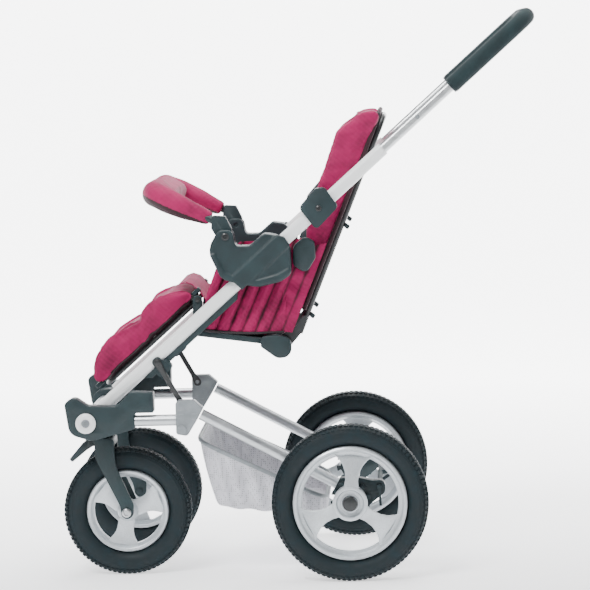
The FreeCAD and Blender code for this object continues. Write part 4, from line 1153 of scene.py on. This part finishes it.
def draped_strip(name, profile, half_width, thickness=0.0016):
    """A cloth laid over a profile in the side view, with a slight ripple across it."""
    cloth = blank("grid", name, x_subdivisions=8 * (len(profile) - 1), y_subdivisions=40, size=1)

    def lay(p):
        run = (p.x + 0.5) * (len(profile) - 1)
        k = min(int(run), len(profile) - 2)
        f = run - k
        f = f * f * (3 - 2 * f) * 0.5 + f * 0.5
        x, z = (profile[k][i] * (1 - f) + profile[k + 1][i] * f for i in (0, 1))
        ripple = 0.0009 * noise.noise(Vector((p.y * 9, run, 2)))
        return Vector((x, p.y * 2 * half_width, z + ripple))

    moved(cloth, lay)
    finished(cloth, "SMOOTH", factor=0.5, iterations=6)
    finished(cloth, "SOLIDIFY", thickness=thickness, offset=0)
    cloth.data.materials.append(FINISHES["magenta_cloth"])
    return smooth(outward(cloth), 60)


class STROLLER_OT_joining_cloths(bpy.types.Operator):
    """Makes the cloths that join the seat cushion to the back and to the leg rest"""
    bl_idname = "stroller.joining_cloths"
    bl_label = "Joining cloths"

    def execute(self, context):
        lap = draped_strip("seat_back_cloth", [
            (-0.066, 0.527), (-0.046, 0.5315), (-0.034, 0.5310), (-0.024, 0.5330), (-0.0165, 0.5430),
            (-0.0105, 0.5560), (-0.0070, 0.5640)], 0.130)
        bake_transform(lap)
        knee = draped_strip("knee_cloth", [
            (-0.236, 0.572), (-0.222, 0.5765), (-0.208, 0.5720), (-0.196, 0.5600), (-0.186, 0.5460),
            (-0.176, 0.5340),
            (-0.160, 0.5290)], 0.124)
        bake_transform(knee)
        return {"FINISHED"}


class STROLLER_OT_back_lining(bpy.types.Operator):
    """Makes the dark cloth that is hooked across the rear of the backrest"""
    bl_idname = "stroller.back_lining"
    bl_label = "Back lining"

    def execute(self, context):
        low, high, half_width, behind = 0.080, 0.462, 0.1195, 0.0105
        cloth = blank("grid", "back_rear_cloth", x_subdivisions=70, y_subdivisions=60, size=1)

        def tension(p):
            up, across = p.x + 0.5, 2 * p.y
            wrinkle = 0.0011 * noise.noise(Vector((up * 16, across * 2.2, 5)))
            pull = 0.0014 * abs(across) ** 3 * math.sin(up * 44)
            scallop = 1 - 0.03 * (0.5 - 0.5 * math.cos(up * 44)) * abs(across)
            return ON_BACK @ Vector((low + (high - low) * up, half_width * across * scallop,
                                     behind + wrinkle + pull))

        moved(cloth, tension)
        finished(cloth, "SOLIDIFY", thickness=0.0015, offset=0)
        smooth(outward(cloth), 60)
        fit_out(cloth, "back", "magenta_cloth", finish="lining")
        return {"FINISHED"}


class STROLLER_OT_bumper(bpy.types.Operator):
    """Makes the padded bumper cover with its dark underside"""
    bl_idname = "stroller.bumper"
    bl_label = "Bumper cover"

    def execute(self, context):
        sizes = context.scene.stroller_sizes
        away = ON_BUMPER.inverted()
        cover = node_copy("bumper_cover", "bumper_tube")
        front = blank("cube", "front", size=1, scale=(0.05, 0.30, 0.036), location=(0.121, 0, 0))
        finished(front, "BEVEL", width=0.012, segments=3)
        placed(front, ON_BUMPER)
        cover = joined("bumper_padding", [front, cover])

        slim_end, growth, least, arm_from, arm_middle = 0.012, 0.085, 0.58, 0.129, 0.191

        def slimmer(p):
            """Narrows the padding of the arms towards their hinges."""
            q = away @ p
            rise = min(1.0, max(0.0, (q.x - slim_end) / growth))
            share = least + (1 - least) * rise * rise * (3 - 2 * rise)
            if abs(q.y) > arm_from:
                q.y = math.copysign(arm_middle + (abs(q.y) - arm_middle) * share, q.y)
            q.z *= share
            return ON_BUMPER @ q

        moved(cover, slimmer)
        puffed(cover, 0.01, sizes.swell * 0.6, sizes.voxel * 0.85)
        creased(cover, 0.0016, 0.03, 41)
        covered(cover, lambda face: (away @ face.center).z > 0.010
                and (away.to_3x3() @ face.normal).z > 0.3)
        fit_out(cover, "bumper", "magenta_cloth", ["bumper_cover"])
        return {"FINISHED"}


class STROLLER_OT_harness(bpy.types.Operator):
    """Makes the shoulder and crotch straps, their pads and the buckle"""
    bl_idname = "stroller.harness"
    bl_label = "Harness"

    def execute(self, context):
        for side, sign in SIDES:
            y = sign * 0.046
            line = ((0.068, 0.044), (0.10, 0.0478), (0.16, 0.049), (0.24, 0.0485), (0.32, 0.049),
                    (0.385, 0.048), (0.397, 0.044))
            run = [ON_BACK @ Vector((s, y, w)) for s, w in line]
            strap = ribbon(f"shoulder_strap_{side}", run, 0.026, 0.0016)
            fit_out(strap, "back", "webbing", ["shoulder_straps"] if sign < 0 else ())
            pad = blank("cube", f"strap_pad_{side}", size=1, scale=(0.13, 0.04, 0.007),
                        location=(0.31, y, 0.0545))
            edited("subdivide", pad, number_cuts=6)

            def crowned(p):
                crown = 0.0024 * math.cos((p.x - 0.31) * 24) * math.cos((p.y - y) * 70)
                return Vector((p.x, p.y, p.z + crown))

            moved(pad, crowned)
            finished(pad, "BEVEL", width=0.002, segments=3, limit_method="ANGLE")
            finished(pad, "SUBSURF", levels=1, render_levels=1)
            placed(pad, ON_BACK)
            smooth(pad, 70)
            fit_out(pad, "back", "magenta_cloth")
        strap = ribbon("crotch_strap",
                       [(-0.108, 0, 0.530), (-0.109, 0, 0.545), (-0.1085, 0, 0.56), (-0.109, 0, 0.58)],
                       0.026, 0.0018)
        fit_out(strap, "seat", "webbing")
        buckle = blank("cube", "harness_buckle_body", size=1, scale=(0.014, 0.046, 0.04),
                       location=(-0.1085, 0, 0.592))
        edited("inset", buckle, lambda face: abs(face.normal.x) > 0.5, thickness=0.005, depth=0.002)
        finished(buckle, "BEVEL", width=0.004, segments=4, limit_method="ANGLE")
        button = blank("cylinder", "button", vertices=32, radius=0.009, depth=0.004,
                       location=(-0.1165, 0, 0.594),
                       rotation=(0, math.pi / 2, 0))
        edited("bevel", button, lambda face: face.normal.x < -0.5, offset=0.0012, segments=2)
        whole = smooth(joined("harness_buckle_body", [button, buckle]), 40)
        fit_out(whole, "seat", "dark_plastic", ["harness_buckle"])
        return {"FINISHED"}


# --- basket ------------------------------------------------------------------------------------------


class STROLLER_OT_basket(bpy.types.Operator):
    """Makes the net basket with its folds and hem"""
    bl_idname = "stroller.basket"
    bl_label = "Basket"

    def execute(self, context):
        fold = context.scene.stroller_sizes.basket_fold
        rim_front, rim_back = Vector((-0.2015, 0, 0.268)), Vector((0.0495, 0, 0.147))
        low_front, low_back = Vector((-0.171, 0, 0.134)), Vector((0.046, 0, 0.11))
        half, low_half, wall_share = 0.1925, 0.176, 0.62
        net = blank("grid", "basket_net", x_subdivisions=240, y_subdivisions=40, size=1)

        def perimeter(t):
            """The point at share t of the way around a unit square with rounded corners."""
            s = (t % 1) * 4
            side, f = int(s), s - int(s)
            ends = ((-1, -1), (1, -1), (1, 1), (-1, 1))
            a, b = ends[side], ends[(side + 1) % 4]
            x, y = a[0] + (b[0] - a[0]) * f, a[1] + (b[1] - a[1]) * f
            size = (abs(x) ** 9 + abs(y) ** 9) ** (1 / 9)
            return x / size, y / size

        def hang(p):
            t, h = p.x + 0.5, p.y + 0.5
            if t > 0.9999:
                t = 0.0
            px, py = perimeter(t)
            wall = min(1.0, h / wall_share)
            floor = max(0.0, (h - wall_share) / (1 - wall_share))
            top = rim_front.lerp(rim_back, (px + 1) / 2)
            low = low_front.lerp(low_back, (px + 1) / 2)
            y = py * (half + (low_half - half) * wall)
            base = top.lerp(low, wall)
            drift = 5 * noise.noise(Vector((t * 9, 0, 3)))
            ripple = math.sin(t * 190 + drift) * math.sin(math.pi * wall) ** 0.6
            bulge = fold * (0.8 * ripple + 0.4 * math.sin(math.pi * wall)) * (1 - floor)
            x = base.x + px * bulge * 0.5
            y += py * bulge * 0.8
            z = base.z
            if floor > 0:
                centre = low_front.lerp(low_back, 0.5)
                x = base.x + (centre.x - base.x) * floor
                y = y * (1 - floor)
                middle = low_front.lerp(low_back, (x - low_front.x) / (low_back.x - low_front.x))
                z = middle.z - 0.006 * math.sin(math.pi / 2 * floor) + 0.0015 * math.sin(x * 130 + y * 60)
            return Vector((x, y, z))

        moved(net, hang)
        outward(net)
        finished(net, "SOLIDIFY", thickness=0.0016, offset=-1)
        smooth(net, 60)
        fit_out(net, "chassis", "basket_mesh", ["basket"])
        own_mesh(net)
        rim = [rim_front.lerp(rim_back, (px + 1) / 2) + Vector((0, py * half, 0)) for px, py in
               (perimeter(k / 64) for k in range(64))]
        hem = bent_tube("basket_hem", rim, 0.0042, closed=True)
        fit_out(hem, "chassis", "basket_mesh", finish="grey_plastic")
        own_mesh(hem)
        return {"FINISHED"}


# --- handle ------------------------------------------------------------------------------------------


class STROLLER_OT_handle(bpy.types.Operator):
    """Makes the handle's foam grip with rounded ends and its end rings"""
    bl_idname = "stroller.handle"
    bl_label = "Handle"

    def execute(self, context):
        grip = rounded_node("handle_grip", "handle_grip_foam", 0.004, 3)
        smooth(grip, 50)
        fit_out(grip, "handle", "grip_foam", ["handle_grip"])
        for side, sign in SIDES:
            ring = blank("torus", f"grip_ring_{side}", major_radius=0.0135, minor_radius=0.0022,
                         major_segments=40, minor_segments=10)
            grip_end = ON_BAR @ Matrix.Translation((0.9705, sign * 0.195, 0))
            placed(ring, grip_end @ Matrix.Rotation(math.pi / 2, 4, "Y"))
            smooth(ring, 60)
            fit_out(ring, "handle", "dark_plastic")
        return {"FINISHED"}


class STROLLER_OT_finishes(bpy.types.Operator):
    """Paints every frame node that still shows"""
    bl_idname = "stroller.finishes"
    bl_label = "Frame finishes"

    def execute(self, context):
        for name, node in frame["nodes"].items():
            if node.hide_render:
                continue
            finish = FINISHES["bright_tube" if name == "handle_tube" else slot_of(name)]
            if node.material_slots:
                for place in node.material_slots:
                    place.material = finish
            else:
                node.data.materials.append(finish)
        return {"FINISHED"}


STEPS = (
    STROLLER_OT_stage, STROLLER_OT_tyres, STROLLER_OT_rims, STROLLER_OT_mouldings, STROLLER_OT_brackets,
    STROLLER_OT_leg_rest, STROLLER_OT_seat_cushion, STROLLER_OT_back_cushion, STROLLER_OT_side_cloth,
    STROLLER_OT_joining_cloths, STROLLER_OT_back_lining,
    STROLLER_OT_bumper, STROLLER_OT_harness, STROLLER_OT_basket, STROLLER_OT_handle, STROLLER_OT_finishes,
)


class STROLLER_PT_maker(bpy.types.Panel):
    """Lists the stroller's sizes, colours and making steps"""
    bl_idname = "STROLLER_PT_maker"
    bl_label = "Stroller"
    bl_space_type = "VIEW_3D"
    bl_region_type = "UI"
    bl_category = "Stroller"

    def draw(self, context):
        for group in (context.scene.stroller_sizes, context.scene.stroller_colours):
            box = self.layout.box()
            for key in group.__annotations__:
                box.prop(group, key)
        for step in STEPS:
            self.layout.operator(step.bl_idname)


CLASSES = (StrollerSizes, StrollerColours, *STEPS, STROLLER_PT_maker)


def register():
    for item in CLASSES:
        bpy.utils.register_class(item)
    bpy.types.Scene.stroller_sizes = PointerProperty(type=StrollerSizes)
    bpy.types.Scene.stroller_colours = PointerProperty(type=StrollerColours)


def unregister():
    del bpy.types.Scene.stroller_colours
    del bpy.types.Scene.stroller_sizes
    for item in reversed(CLASSES):
        bpy.utils.unregister_class(item)


def main():
    register()
    for step in STEPS:
        family, name = step.bl_idname.split(".")
        getattr(getattr(bpy.ops, family), name)()


if __name__ == "__main__":
    main()
